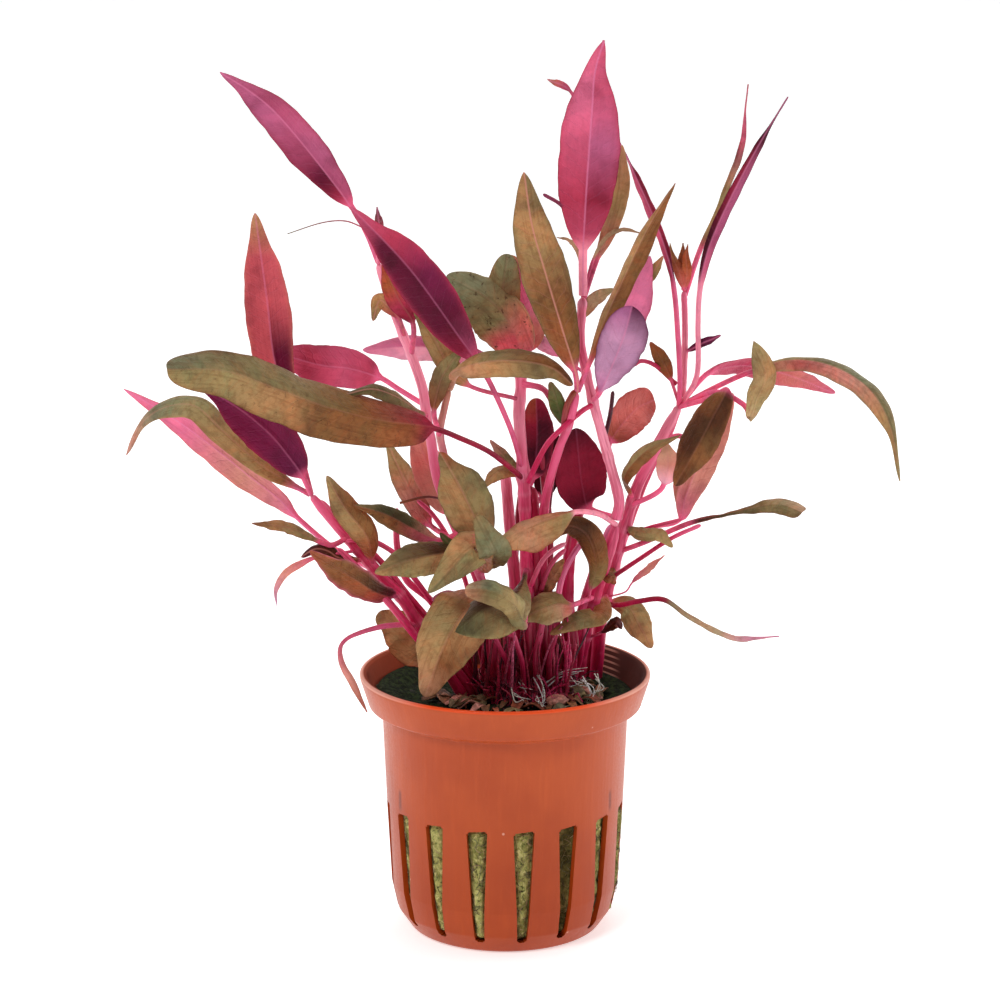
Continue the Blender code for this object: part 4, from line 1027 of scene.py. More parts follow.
    "leaf_left_low_pink": Leaf("stem_left_low", 1.6, 1, FRONT, 0.1, 0.5, 0.5, "rose", (
        (460, 612, -6), (452, 602, -8), (444, 596, -9), (432, 600, -9.5)),
        lower("pink salmon pink")),
    "leaf_main_pale": Leaf("stem_main_upper", 3.4, 2, FRONT, 0.1, 0.5, 0.7, "rose", (
        (593, 400, 0.5), (606, 370, 3), (625, 325, 5), (640, 285, 6), (650, 256, 7)),
        lower("rose pink pink", veins=0.3, rim="rose")),
    "leaf_main_pale_tip": Leaf(None, 1.0, 1, FRONT, 0.1, 0.5, 0.6, "olive", (
        (640, 292, 6.5), (650, 277, 7), (657, 266, 7), (663, 256, 7)),
        upper("khaki khaki tan")),
    "leaf_main_behind": Leaf("stem_main_upper", 1.8, 2, FRONT, 0.1, 0.55, 0.6, "tan", (
        (585, 298, 1.5), (596, 262, 3.5), (611, 225, 4.5), (621, 185, 5), (622, 145, 6)),
        upper("salmon tan tan_pink", veins=0.1, rim="tan")),
    "leaf_main_back_top": Leaf("stem_main_upper", 1.1, 5, FRONT, 0.1, 0.5, 0.7, "rose", (
        (584, 285, -0.5), (586, 235, 1), (586, 180, -2), (583, 130, -6), (571, 92, -9), (547, 79, -11)),
        lower("rose rose coral tan", halves=(0.6, 0.6)), 0.3),
    "leaf_main_thin_left": Leaf("stem_main_upper", 0.45, 2, UP_FRONT, 0, 0.5, 0.6, "olive", (
        (583, 300, 0), (580, 262, 1), (572, 242, 1.5), (557, 237, 1)),
        upper("pale_tan pale_tan pale_tan", veins=0.0), 0.25),
    "leaf_main_thin_right": Leaf("stem_main_upper", 0.5, 2, UP_FRONT, 0, 0.5, 0.6, "olive", (
        (584, 302, 0.5), (592, 262, 2), (606, 238, 3), (622, 229, 4), (644, 234, 5)),
        upper("pale_tan pale_tan pale_tan", veins=0.0), 0.25),
    "leaf_main_thin_tan": Leaf("stem_main_upper", 1.3, 1, FRONT, 0.1, 0.5, 0.6, "tan", (
        (582, 318, 0), (592, 302, 1), (603, 294, 2), (614, 289, 3)),
        upper("tan pale_tan khaki", veins=0.1), 0.3),
    "leaf_main_small_pink": Leaf("stem_main_upper", 1.4, 2, FRONT, 0.1, 0.5, 0.6, "rose", (
        (581, 372, 1), (560, 356, 3), (546, 345, 4), (526, 333, 5)),
        lower("pink pale_pink salmon"), 0.3),
    "leaf_main_small_green": Leaf("stem_centre_right", 1.5, 1, FRONT, 0.1, 0.5, 0.5, "olive", (
        (561, 422, -6), (559, 410, -7.5), (555, 396, -8.5), (550, 382, -8.5)),
        upper("dark_olive green olive", veins=0.1)),
    "leaf_centre_under": Leaf("stem_centre", 2.2, 2, (-0.3, -1, 0.2), 0.1, 0.5, 0.6, "olive", (
        (519, 400, -2), (470, 386, -4), (447, 362, -6), (431, 333, -6), (414, 308, -6)),
        upper("tan tan khaki", rim="olive", veins=0.3), 0.4),
    "leaf_centre_behind": Leaf("stem_centre", 2.7, 2, FRONT, 0.1, 0.5, 0.5, "crimson", (
        (533, 505, 1), (541, 498, 7), (547, 475, 8), (551, 455, 8), (555, 432, 8)),
        lower("maroon maroon maroon", veins=0.2)),
    "leaf_centre_lobe": Leaf("stem_centre", 3.2, 1, (-0.1, -1, 0.4), -0.2, 0.6, 0.45, "olive", (
        (518, 372, -1), (512, 345, -1.5), (505, 318, -1.8), (503, 290, -2), (508, 254, -2)),
        upper("coral_red coral_red brown olive sage", rim="brown", veins=0.1, pits=0.7, drawn=0.0), 0.3),
    "leaf_centre_small_1": Leaf("stem_centre", 1.5, 1, UP_FRONT, -0.3, 0.5, 0.6, "olive", (
        (519, 476, -2.5), (506, 470, -4), (495, 474, -5.5), (483, 487, -6)),
        upper("rust tan khaki", veins=0.2), 0.3),
    "leaf_centre_small_2": Leaf("stem_centre", 1.1, 1, FRONT, 0.2, 0.5, 0.6, "olive", (
        (519, 474, -1.5), (509, 462, -3), (500, 452, -4), (490, 440, -4)),
        upper("khaki olive salmon", veins=0.2), 0.3),
    "leaf_right_salmon": Leaf("stem_right", 2.2, 3, FRONT, 0.1, 0.5, 0.6, "tan", (
        (634, 512, 0), (655, 494, -2), (664, 484, -3), (668, 465, -4), (666, 443, -4)),
        lower("pale_pink salmon pale_tan", veins=0.1)),
    "leaf_right_coral": Leaf("stem_right", 2.6, 3, FRONT, 0.1, 0.5, 0.7, "rose", (
        (628, 535, 3), (655, 527, 3), (679, 521, 3.5), (685, 498, 3.5), (698, 465, 2.5), (715, 428, 1),
        (733, 393, 0)),
        lower("rose_pink salmon salmon salmon", veins=0.3, drawn=0.1, halves=(1.0, 1.3)), 0.3),
    "leaf_right_narrow": Leaf("stem_right", 1.7, 1, (-0.5, -0.8, 0.6), -0.2, 0.5, 0.8, "olive", (
        (627, 500, 0), (624, 478, -2), (645, 452, -4), (680, 435, -6)),
        upper("olive khaki olive", other="brown brown khaki", veins=0.1)),
    "leaf_right_brown": Leaf("stem_right", 1.4, 2, FRONT, 0.1, 0.5, 0.6, "orange", (
        (679, 398, 2), (671, 380, 2), (663, 362, 2), (650, 342, 3)),
        upper("rust brown orange", veins=0.1), 0.3),
    "leaf_right_dark": Leaf("stem_right_tip", 0.8, 1, FRONT, 0.1, 0.5, 0.6, "purple", (
        (687, 352, 4), (702, 343, 3), (712, 339, 3), (721, 335, 3)), None, 0.3),
    "leaf_right_thin": Leaf("stem_right", 1.3, 3, UP_FRONT, 0.1, 0.5, 0.7, "rose", (
        (616, 606, 5), (625, 592, 3), (632, 583, 2), (645, 572, 1), (655, 564, 0), (665, 555, -1)),
        lower("rose salmon coral", halves=(0.6, 0.6), drawn=0.5, veins=0.1), 0.16),
    "leaf_right_lump": Leaf("stem_right", 1.3, 1, UP_FRONT, -0.4, 0.5, 0.4, "olive", (
        (611, 572, 4), (609, 576, 1.5), (613, 580, 1), (616, 584, 1)),
        upper("brown olive rust", veins=0.1)),
    "leaf_right_curled": Leaf("stem_main", 1.2, 2, UP_FRONT, -0.3, 0.6, 0.6, "crimson", (
        (591, 641, 5), (600, 633, 4), (609, 626, 3), (617, 621, 2), (622, 629, 2)),
        upper("maroon dark_brown maroon", veins=0.1), 0.3),
    "leaf_low_sage": Leaf("stem_left_short", 3.3, 1, (0.2, -1, 0.2), 0.1, 0.5, 0.45, "olive", (
        (497, 572, -10), (494, 556, -17), (487, 537, -19), (477, 516, -19.5)),
        upper("khaki olive sage olive", rim="olive", wave=0.7, veins=0.05, pits=0.2)),
    "leaf_low_drooping": Leaf("stem_main", 2.5, 2, (-0.3, -0.9, 0.3), -0.3, 0.55, 0.55, "olive", (
        (578, 604, 2), (590, 590, -1), (596, 570, -3), (593, 548, -4.5), (584, 532, -5.5), (568, 526, -6.5),
        (552, 536, -7)),
        upper("khaki brown dark_brown dark_brown", rim="brown", veins=0.1), 0.3),
    "leaf_low_olive": Leaf("stem_right", 2.1, 1, UP_FRONT, -0.1, 0.5, 0.55, "olive", (
        (610, 606, 4), (600, 614, -1), (585, 618, -3), (568, 625, -5), (550, 634, -6)),
        upper("tan brown olive tan", rim="tan", veins=0.1)),
    "leaf_low_pink": Leaf("stem_centre_right", 1.5, 1, UP_FRONT, 0.1, 0.5, 0.6, "tan", (
        (544, 598, -2), (549, 583, -3), (555, 572, -4), (564, 559, -5)),
        upper("tan tan_pink tan", veins=0.1)),
    "leaf_bud_left": Leaf("stem_right_tip", 0.9, 1, FRONT, 0.2, 0.4, 0.8, "orange", (
        (684, 290, 4), (679, 272, 3.5), (672, 256, 3.5), (670, 243, 4)),
        upper("coral rust tan", veins=0.2), 0.3),
    "leaf_bud_right": Leaf("stem_right_tip", 0.9, 1, FRONT, 0.2, 0.4, 0.8, "orange", (
        (684, 290, 4), (687, 272, 3.5), (686, 257, 3.5), (688, 244, 4)),
        upper("coral orange rust", veins=0.2), 0.3),
    # Its upper half turns lighter towards the tip, khaki to sage and pale tan: a painted highlight along
    # the top of the rolled rim, over its olive colour
    "leaf_low_rim": Leaf("stem_centre", 2.5, 2, (0.1, -0.8, 0.6), -0.4, 0.55, 0.3, "olive", (
        (527, 598, -6), (524, 622, -20), (516, 605, -25.5), (500, 594, -27), (484, 589, -27),
        (465, 589, -25.5)),
        upper("olive olive khaki olive tan_pink", other="olive khaki khaki sage pale_tan", rim="olive",
            veins=0.0, fold=0.0, drawn=0.0)),
    "leaf_low_green": Leaf("stem_left_short", 1.3, 1, FRONT, 0.1, 0.5, 0.5, "olive", (
        (470, 552, -9), (455, 549, -12), (447, 541, -13), (440, 533, -13)),
        upper("dark_olive green dark_olive", veins=0.1)),
}

# Stones: name, place, half sizes, colour
STONES = (
    ("pebble_front", (557, 697, -8.0), (2.1, 1.5, 1.2), "salmon"),
    ("pebble_right", (575, 688, -2.0), (1.9, 1.4, 1.2), "olive"),
)

# White rootlets: places along each
ROOTLETS = (
    ((521, 681, -6), (525, 688, -7), (529, 692, -8)),
    ((536, 679, -7), (541, 690, -8), (538, 700, -9), (544, 706, -9)),
    ((546, 683, -4), (560, 675, -4), (583, 672, -3)),
    ((585, 680, -3), (592, 690, -5), (588, 700, -6)),
    ((599, 676, -2), (601, 686, -3), (596, 695, -4)),
    ((540, 698, -9), (545, 706, -10), (541, 708, -10)),
    ((566, 678, -3), (574, 684, -5), (584, 683, -5)),
    ((512, 690, -8), (520, 697, -9), (528, 702, -9)),
)


# The net pot


def rounded(profile, radius):
    """The profile with each of its inner corners turned into a small arc."""
    found = [profile[0]]
    for before, corner, after in zip(profile, profile[1:], profile[2:]):
        before, corner, after = Vector(before), Vector(corner), Vector(after)
        back = before - corner
        ahead = after - corner
        cut = min(radius, 0.45 * back.length, 0.45 * ahead.length)
        start = corner + back.normalized() * cut
        end = corner + ahead.normalized() * cut
        for step in range(CORNER_STEPS + 1):
            part = step / CORNER_STEPS
            point = start * (1 - part) ** 2 + corner * 2 * part * (1 - part) + end * part**2
            found.append(tuple(point))
    return found + [profile[-1]]


def pot_profile():
    """The pot's section from the middle of its foot, out, up and back down inside."""
    return [
        (0.0, 0.0),
        (FOOT_RADIUS - 1.0, 0.0),
        (FOOT_RADIUS, 0.5),
        (FOOT_BEND_RADIUS, FOOT_BEND),
        (BODY_LOW_RADIUS, BODY_LOW),
        (BODY_MIDDLE_RADIUS, BODY_MIDDLE),
        (BODY_TOP_RADIUS, COLLAR_FOOT - 1.0),
        (COLLAR_FOOT_RADIUS, COLLAR_FOOT),
        (RIM_RADIUS, POT_HEIGHT - 0.8),
        (RIM_RADIUS, POT_HEIGHT - 0.2),
        (RIM_RADIUS - 0.4, POT_HEIGHT),
        (RIM_RADIUS - LIP_WIDTH, POT_HEIGHT - 0.3),
        *reversed(INSIDE),
        (0.0, FLOOR),
    ]


def slot_cutter(angle):
    """A wedge that cuts one slot, wide at its top and narrow at its bottom."""
    cutter = bmesh.new()
    corners = []
    for radius in (SLOT_CUT_FROM, SLOT_CUT_TO):
        ends = ((SLOT_BOTTOM, SLOT_BOTTOM_WIDTH, 0.0), (SLOT_TOP, SLOT_TOP_WIDTH, SLOT_SKEW))
        for height, width, skew in ends:
            for side in (-0.5, 0.5):
                corners.append(cutter.verts.new((side * width, -radius, height + side * skew)))
    for face in ((0, 1, 3, 2), (4, 6, 7, 5), (0, 4, 5, 1), (2, 3, 7, 6), (0, 2, 6, 4), (1, 5, 7, 3)):
        cutter.faces.new([corners[index] for index in face])
    radial = [edge for edge in cutter.edges if abs(edge.verts[0].co.y - edge.verts[1].co.y) > 1]
    bmesh.ops.bevel(cutter, geom=radial, offset=CORNER_RADIUS, segments=3, affect="EDGES")
    turn = Matrix.Rotation(radians(angle), 3, "Z")
    bmesh.ops.rotate(cutter, cent=(0, 0, 0), matrix=turn, verts=cutter.verts)
    return cutter


def floor_hole_cutter(angle):
    """An upright pin that cuts one drain hole in the floor."""
    cutter = bmesh.new()
    radii = {"radius1": FLOOR_HOLE_RADIUS, "radius2": FLOOR_HOLE_RADIUS}
    bmesh.ops.create_cone(cutter, cap_ends=True, segments=FLOOR_HOLE_SIDES, depth=4 * FLOOR, **radii)
    place = Vector((FLOOR_HOLE_RING * sin(angle), -FLOOR_HOLE_RING * cos(angle), 0.0))
    bmesh.ops.translate(cutter, vec=place, verts=cutter.verts)
    return cutter


def object_from(name, builder, material):
    """An object from a bmesh in millimetres."""
    bmesh.ops.scale(builder, vec=(MM, MM, MM), verts=builder.verts)
    bmesh.ops.recalc_face_normals(builder, faces=builder.faces)
    mesh = bpy.data.meshes.new(name)
    builder.to_mesh(mesh)
    builder.free()
    return place_in_scene(name, mesh, material)


def make_pot():
    """The pot turned from its section, with its slots and drain holes cut."""
    plastic = plastic_material()
    body = bmesh.new()
    section = rounded(pot_profile(), CORNER_RADIUS)
    corners = [body.verts.new((radius, 0.0, height)) for radius, height in section]
    edges = [body.edges.new(pair) for pair in zip(corners, corners[1:])]
    round_the_axis = {"cent": (0, 0, 0), "axis": (0, 0, 1), "angle": tau, "steps": POT_SIDES}
    bmesh.ops.spin(body, geom=corners + edges, use_merge=True, **round_the_axis)
    bmesh.ops.remove_doubles(body, verts=body.verts, dist=1e-5)
    pot = object_from("pot_shell", body, plastic)
    cutters = bmesh.new()
    parts = [slot_cutter(SLOT_FIRST_ANGLE + SLOT_PITCH * index) for index in range(SLOTS)]
    parts += [floor_hole_cutter(tau * index / FLOOR_HOLES) for index in range(FLOOR_HOLES)]
    for part in parts:
        mesh = bpy.data.meshes.new("cutter_part")
        part.to_mesh(mesh)
        part.free()
        cutters.from_mesh(mesh)
        bpy.data.meshes.remove(mesh)
    cutter = object_from("pot_cutters", cutters, plastic)
    cut = pot.modifiers.new("slots", "BOOLEAN")
    cut.operation = "DIFFERENCE"
    cut.solver = "EXACT"
    cut.object = cutter
    graph = bpy.context.evaluated_depsgraph_get()
    whole = bpy.data.meshes.new_from_object(pot.evaluated_get(graph))
    pot.modifiers.clear()
    pot.data = whole
    bpy.data.objects.remove(cutter)
    whole.shade_smooth()
    whole.set_sharp_from_angle(angle=SHARP_FROM)
    settle(pot, "pot_plastic", "net_pot")


# The rock wool


def inner_radius(height):
    """The pot's inside radius at a height."""
    radii, heights = zip(*INSIDE)
    return float(np.interp(height, heights, radii))


def wool_swell(angle, height):
    """How far the wool stands out at an angle (degrees from the front) and height."""
    place = (angle - SLOT_FIRST_ANGLE) / SLOT_PITCH
    slot = round(place)
    width = np.interp(height, (SLOT_BOTTOM, SLOT_TOP), (SLOT_BOTTOM_WIDTH, SLOT_TOP_WIDTH))
    aside = abs(place - slot) * radians(SLOT_PITCH) * BODY_MIDDLE_RADIUS
    inside = 1 - soft_step(aside, 0.15 * width, 0.55 * width)
    ends = soft_step(height, SLOT_BOTTOM - 0.5, SLOT_BOTTOM + 2.0)
    ends *= 1 - soft_step(height, SLOT_TOP - 1.5, SLOT_TOP + 0.3)
    return float(WOOL_SWELLS[slot % SLOTS] * inside * ends)


def make_wool():
    """The plug's lumpy skin: its side, swelling into the slots, and its top, banked at the sides."""
    angles = [tau * step / WOOL_AROUND for step in range(WOOL_AROUND)]
    ways = [Vector((sin(angle), -cos(angle), 0.0)) for angle in angles]
    points = []
    heights = np.linspace(FLOOR + 0.3, WOOL_TOP - WOOL_EDGE_DROP, WOOL_UP)
    for height in heights:
        for step, way in enumerate(ways):
            radius = inner_radius(height) - WOOL_PLAY + wool_swell(360.0 * step / WOOL_AROUND, height)
            where = way * radius + Vector((0.0, 0.0, height))
            lump = noise.fractal(where * 0.45, 0.7, 2.0, 4) * 0.45
            points.append(way * (radius + min(lump, 0.25)) + Vector((0.0, 0.0, height)))
    edge = inner_radius(heights[-1]) - WOOL_PLAY
    for share in WOOL_RINGS:
        for angle, way in zip(angles, ways):
            right = sin(angle)
            bank = soft_step(abs(right), 0.3, 0.75) * soft_step(share, 0.8, 0.98)
            where = way * edge * share * (1 + 0.055 * bank)
            rise = 1.2 * soft_step(1 - share, 0.0, 0.16) + bank * (3.0 if right < 0 else 1.6)
            lump = noise.fractal(where * 0.35, 0.7, 2.0, 4) * 0.5 * min(1.0, (1 - share) * 8)
            points.append(where + Vector((0.0, 0.0, WOOL_TOP - WOOL_EDGE_DROP + rise + lump)))
    faces = ring_faces(WOOL_UP + len(WOOL_RINGS), WOOL_AROUND)
    piece = add_piece("wool_plug", [tuple(point) for point in points], faces, wool_material())
    settle(piece, "rock_wool", "rock_wool")


def make_fibres():
    """Loose strands: three in four lie over the wool's side, the others on its top."""
    chance = random.Random(5)
    heap = Heap()
    shades = ("khaki", "pale_tan", "dark_olive", "sage", "olive", "khaki")
    for index in range(FIBRES):
        angle = tau * chance.random()
        turn = chance.uniform(0, tau)
        length = chance.uniform(1.2, 4.0)
        curl = chance.uniform(-0.9, 0.9)
        on_side = index % 4
        height = chance.uniform(SLOT_BOTTOM, SLOT_TOP) if on_side else WOOL_TOP
        away = 0.0 if on_side else FIBRE_REACH * chance.random() ** 0.5
        route = []
        for step in range(len(FIBRE_RADII)):
            part = (step / (len(FIBRE_RADII) - 1) - 0.5) * length
            level = part * cos(turn + curl * part)
            other = part * sin(turn + curl * part)
            if on_side:
                up = min(max(height + other, FLOOR + 1.0), SLOT_TOP)
                around = angle + level / FIBRE_REACH
                swell = wool_swell(np.degrees(around) % 360, up)
                radius = inner_radius(up) - WOOL_PLAY + swell + chance.uniform(0.0, 0.3)
                radius = min(radius, FIBRE_LIMIT)
                route.append((radius * sin(around), -radius * cos(around), up))
            else:
                up = height + chance.uniform(-0.3, 0.3) - 0.002 * away**2
                route.append((away * sin(angle) + level, -away * cos(angle) + other, up))
        tint = paint(chance.choice(shades), chance.uniform(0.7, 1.2))
        heap.add(*tube(route, FIBRE_RADII, 3), tint)
    heap.finish("wool_fibres", tinted_material("wool_strand", 0.8))


# Stems


def stem_curve(name):
    """The middle line of a stem or strand, from its foot."""
    points = [spot(*place) for place in STEMS[name].route]
    if STEMS[name].root is not None:
        points.insert(0, np.array((*STEMS[name].root, WOOL_TOP + 0.3)))
    return smooth_route(points, STEM_STEPS)


def stem_radius(name, share):
    """A stem's radius at a share of its length."""
    stem = STEMS[name]
    return STEM_FLESH * (stem.foot + (stem.tip - stem.foot) * share)


def nearest_on_stem(curve, point):
    """The number of the curve's point that is nearest to another point."""
    return int(np.argmin(np.linalg.norm(curve - point, axis=1)))


def shade_run(names, shares):
    """The colour at each share of a run of named colours."""
    colours = np.array([PALETTE[name] for name in names.split()])
    places = np.linspace(0.0, 1.0, len(colours))
    return np.stack([np.interp(shares, places, colours[:, part]) for part in range(3)], axis=-1)


def make_stem(name, stem, flesh):
    """A tube along the stem's route, thicker and paler where leaves grow, with a rounded tip."""
    curve = stem_curve(name)
    length = np.linalg.norm(np.diff(curve, axis=0), axis=1).sum()
    shares = np.linspace(0.0, 1.0, len(curve))
    tints = shade_run(stem.shades, shares)
    radii = stem_radius(name, shares) * (1 + 0.05 * wobble(shares, 5, random.Random(name)))
    starts = [spot(*leaf.route[0]) for leaf in LEAVES.values() if leaf.stem == name]
    for share in [nearest_on_stem(curve, start) / STEM_STEPS for start in starts]:
        away = (shares - share) * length
        radii = radii * (1 + NODE_SWELLING * np.exp(-((away / NODE_HALF_LENGTH) ** 2)))
        ring = np.exp(-((away / NODE_RING_HALF_LENGTH) ** 2))[:, None] * NODE_RING_STRENGTH
        tints = tints * (1 - ring) + PALETTE["pale_pink"] * ring
    rounding = np.minimum((1 - shares) * length / (2.5 * radii[-1]), 1.0)
    radii = radii * np.sqrt(np.maximum(1 - (1 - rounding) ** 2, 0.02))
    if stem.root is not None:
        curve = np.vstack([curve[0] - (0.0, 0.0, STEM_SINKS), curve])
        radii = np.concatenate([[radii[0] * FOOT_SPREAD], radii])
        tints = np.vstack([tints[:1], tints])
    rows = np.concatenate([[0.0], np.cumsum(np.linalg.norm(np.diff(curve, axis=0), axis=1))])
    angles = tau * np.arange(STEM_SIDES) / STEM_SIDES
    round_it = (STREAK_RADIUS * np.cos(angles), STREAK_RADIUS * np.sin(angles))
    places = np.stack(np.broadcast_arrays(*round_it, (rows * STREAK_LENGTH)[:, None]), axis=-1)
    colours = np.repeat(np.hstack([tints, np.ones((len(tints), 1))]), STEM_SIDES, axis=0)
    piece = add_piece(name + "_flesh", *tube(curve, radii, STEM_SIDES), flesh, colours, places)
    settle(piece, "stem_skin", *own_node(name))


# Leaves


def petiole_start(stem, toward):
    """Where a petiole leaves its stem: inside the stem's skin."""
    points = stem_curve(stem)
    nearest = nearest_on_stem(points, toward)
    out = toward - points[nearest]
    clear = stem_radius(stem, nearest / STEM_STEPS) * 0.5
    return points[nearest] + out / max(np.linalg.norm(out), 1e-6) * clear


def blade_width(share, widest, blunt, drawn):
    """A blade's half width, 1 at its widest, with its tip drawn out by a share."""
    bent = share ** (log(0.5) / log(widest))
    full = np.maximum(4 * bent * (1 - bent), 0.0) ** blunt
    return full * (1 - drawn * np.exp(-(((share - 0.88) / 0.13) ** 2)))


def round_the_edge(seen, hidden):
    """The seen side's rows and then the hidden side's, back from the right edge to the left."""
    return np.concatenate([seen, hidden[:, -2:0:-1]], axis=1)


def leaf_tints(look, blade, columns):
    """The colour and vein strength of each point: the seen side's, its rim's and the hidden side's."""
    seen = shade_run(look.seen, blade)[:, None, :]
    other = shade_run(look.other or look.seen, blade)[:, None, :]
    cross = soft_step(columns, -0.08, 0.08)[None, :, None]
    tint = seen * (1 - cross) + other * cross
    edged = (0.8 * np.abs(columns) ** 10)[None, :, None]
    tint = tint * (1 - edged) + PALETTE[look.rim] * edged
    tints = round_the_edge(tint, shade_run(look.hidden, blade)[:, None, :] + 0 * tint)
    joined = (1 - soft_step(blade, 0.0, 0.09))[:, None, None]
    tints = tints * (1 - joined) + PALETTE[look.petiole] * joined
    return np.concatenate([tints, np.full(tints.shape[:2] + (1,), look.veins)], axis=2).reshape(-1, 4)


def leaf_places(look, away, along):
    """Each point's place on its side, across and along, and the side's sort.

    The sort is 0 for a lower side and 1 for an upper one, more where that is pitted.
    """
    sorts = (0.0, 1.0 + look.pits)
    sides = [
        np.stack(np.broadcast_arrays(away, along[:, None], sorts[upper_side]), axis=-1)
        for upper_side in (not look.under, look.under)
    ]
    return round_the_edge(*sides).reshape(-1, 3)


def make_leaf(name, leaf, material):
    """One leaf: a petiole that spreads into a thin blade with two differently coloured sides."""
    look = leaf.look or COLOUR_LOOKS[leaf.colour]
    chance = random.Random(name)
    route = [spot(*place) for place in leaf.route]
    if leaf.stem is not None:
        route[0] = petiole_start(leaf.stem, route[0])
    lengths = np.linalg.norm(np.diff(np.array(route), axis=0), axis=1)
    fine = smooth_route(route, FINE_STEPS)
    share = 1 - (1 - np.linspace(0.0, 1.0, LEAF_STEPS + 1)) ** TIP_CROWDING
    places = share * FINE_STEPS
    curve = np.stack([np.interp(places, range(len(fine)), fine[:, part]) for part in range(3)], axis=-1)
    ways = directions(curve)
    bare = max(lengths[: leaf.petiole - 1].sum() / lengths.sum(), SHORTEST_PETIOLE)
    blade = np.clip((share - bare) / (1 - bare), 0.0, 1.0)
    form = (look.widest or leaf.widest, look.blunt or leaf.blunt, look.drawn)
    wide = leaf.half_width * blade_width(blade, *form)
    bare_radius = leaf.petiole_radius * (1 - PETIOLE_TAPER * blade)
    thinned = np.minimum(blade / BLADE_THINS_OVER, 1.0)
    thick = bare_radius + (BLADE_HALF_THICKNESS - bare_radius) * thinned
    thick[-1] = TIP_HALF_THICKNESS
    facing = np.array(leaf.face, dtype=float)
    out = unit(facing - ways * (ways @ facing)[:, None])
    side = np.cross(ways, out)

    # The middle surface, each half with its own width, torn edge and ripples
    columns = np.array([-place for place in COLUMNS[:0:-1]] + list(COLUMNS))
    swell = np.sin(pi * blade) ** 0.6
    halves = []
    ripples = []
    for width in look.halves:
        rough = 1 + EDGE_ROUGHNESS * wobble(blade, EDGE_WAVES, chance) * swell
        halves.append(np.maximum(wide * rough * width, bare_radius))
        halves[-1][-1] = TIP_HALF_WIDTH
        ripples.append(look.wave * swell * wobble(blade, RIPPLE_WAVES, chance))
    right = (columns > 0)[None, :]
    half = np.where(right, halves[1][:, None], halves[0][:, None])
    ripple = np.where(right, ripples[1][:, None], ripples[0][:, None])
    bend = columns[None, :] ** 2
    rise = leaf.lift * wide[:, None] * bend + ripple * bend
    rise = rise + look.fold * wide[:, None] * np.abs(columns)[None, :]
    away = columns[None, :] * half
    surface = curve[:, None, :] + (side[:, None, :] * away[:, :, None] + out[:, None, :] * rise[:, :, None])

    # Its two sides: a raised midrib below and a groove above
    bulge = thick[:, None] * np.sqrt(np.maximum(1 - columns[None, :] ** 2, 0.0))
    rib = RIB_HEIGHT * (thinned * (1 - blade) ** 0.6)[:, None] * np.exp(-((away / RIB_HALF_WIDTH) ** 2))
    groove = GROOVE_DEPTH * thinned[:, None] * np.exp(-((away / GROOVE_HALF_WIDTH) ** 2))
    front = bulge + (rib if look.under else -groove)
    back = bulge + (-groove if look.under else rib)
    seen_side = surface + out[:, None, :] * front[:, :, None]
    corners = round_the_edge(seen_side, surface - out[:, None, :] * back[:, :, None])

    faces = ring_faces(len(curve), corners.shape[1])
    tints = leaf_tints(look, blade, columns)
    places = leaf_places(look, away, share * lengths.sum())
    piece = add_piece(name + "_blade", corners.reshape(-1, 3), faces, material, tints, places)
    settle(piece, "leaf_" + leaf.colour, *own_node(name))


# Small things on the wool


def ball(subdivisions):
    """The points of a round ball of radius 1, and its faces."""
    builder = bmesh.new()
    bmesh.ops.create_icosphere(builder, subdivisions=subdivisions, radius=1.0)
    points = [corner.co.copy() for corner in builder.verts]
    faces = [[corner.index for corner in face.verts] for face in builder.faces]
    builder.free()
    return points, faces


def make_stones():
    """The two pebbles: lumpy balls of unequal half sizes that lie on the wool."""
    material = tinted_material("pebble_grain", 0.55, 1.4)
    for name, place, halves, shade in STONES:
        model, faces = ball(5)
        centre = Vector(spot(*place))
        centre.z = WOOL_TOP + 0.3 + halves[2]
        points = []
        for corner in model:
            rough = 1 + 0.10 * noise.fractal(corner * 1.6 + centre, 0.8, 2.0, 4)
            sized = Vector([part * half for part, half in zip(corner, halves)])
            points.append(tuple(sized * min(rough, 1.0) + centre))
        piece = add_piece(name + "_stone", points, faces, material, [paint(shade)] * len(points))
        settle(piece, "pebble", name)


def make_crumbs():
    """Dark crumbs of wool and soil over the plug's top, and small green ones on its left bank."""
    chance = random.Random(11)
    model, faces = ball(2)
    model = np.array([corner[:] for corner in model])
    heap = Heap()
    shades = ("shadow", "dark_olive", "shadow", "dark_brown", "olive", "maroon")
    for index in range(CRUMBS + BANK_CRUMBS):
        banked = index >= CRUMBS
        angle = tau * chance.random()
        away = CRUMB_REACH * chance.random() ** 0.5
        height = WOOL_TOP - 0.003 * away**2
        if banked:
            angle = -tau * chance.uniform(*BANK_ANGLES)
            away = chance.uniform(BANK_FROM, BANK_TO)
            height = WOOL_TOP - 0.6 + 0.5 * (away - 20.0) * sin(-angle)
        size = chance.uniform(0.25, 0.8) * (0.6 if banked else 1)
        turn = Matrix.Rotation(chance.uniform(0, tau), 3, Vector((chance.random(), 1, chance.random())))
        stretch = drawn(chance, (0.6, 1.5), (0.6, 1.2), (0.35, 0.8))
        rough = np.array([1 + chance.uniform(-0.25, 0.25) for _ in model])[:, None]
        shape = (model * rough * stretch * size) @ np.array(turn)
        centre = (away * sin(angle), -away * cos(angle), height + chance.uniform(-0.2, 0.4))
        tint = paint("green" if banked else chance.choice(shades), chance.uniform(0.2, 0.7))
        heap.add(shape + centre, faces, tint)
    heap.finish("wool_crumbs", tinted_material("crumb_grain", 0.7))


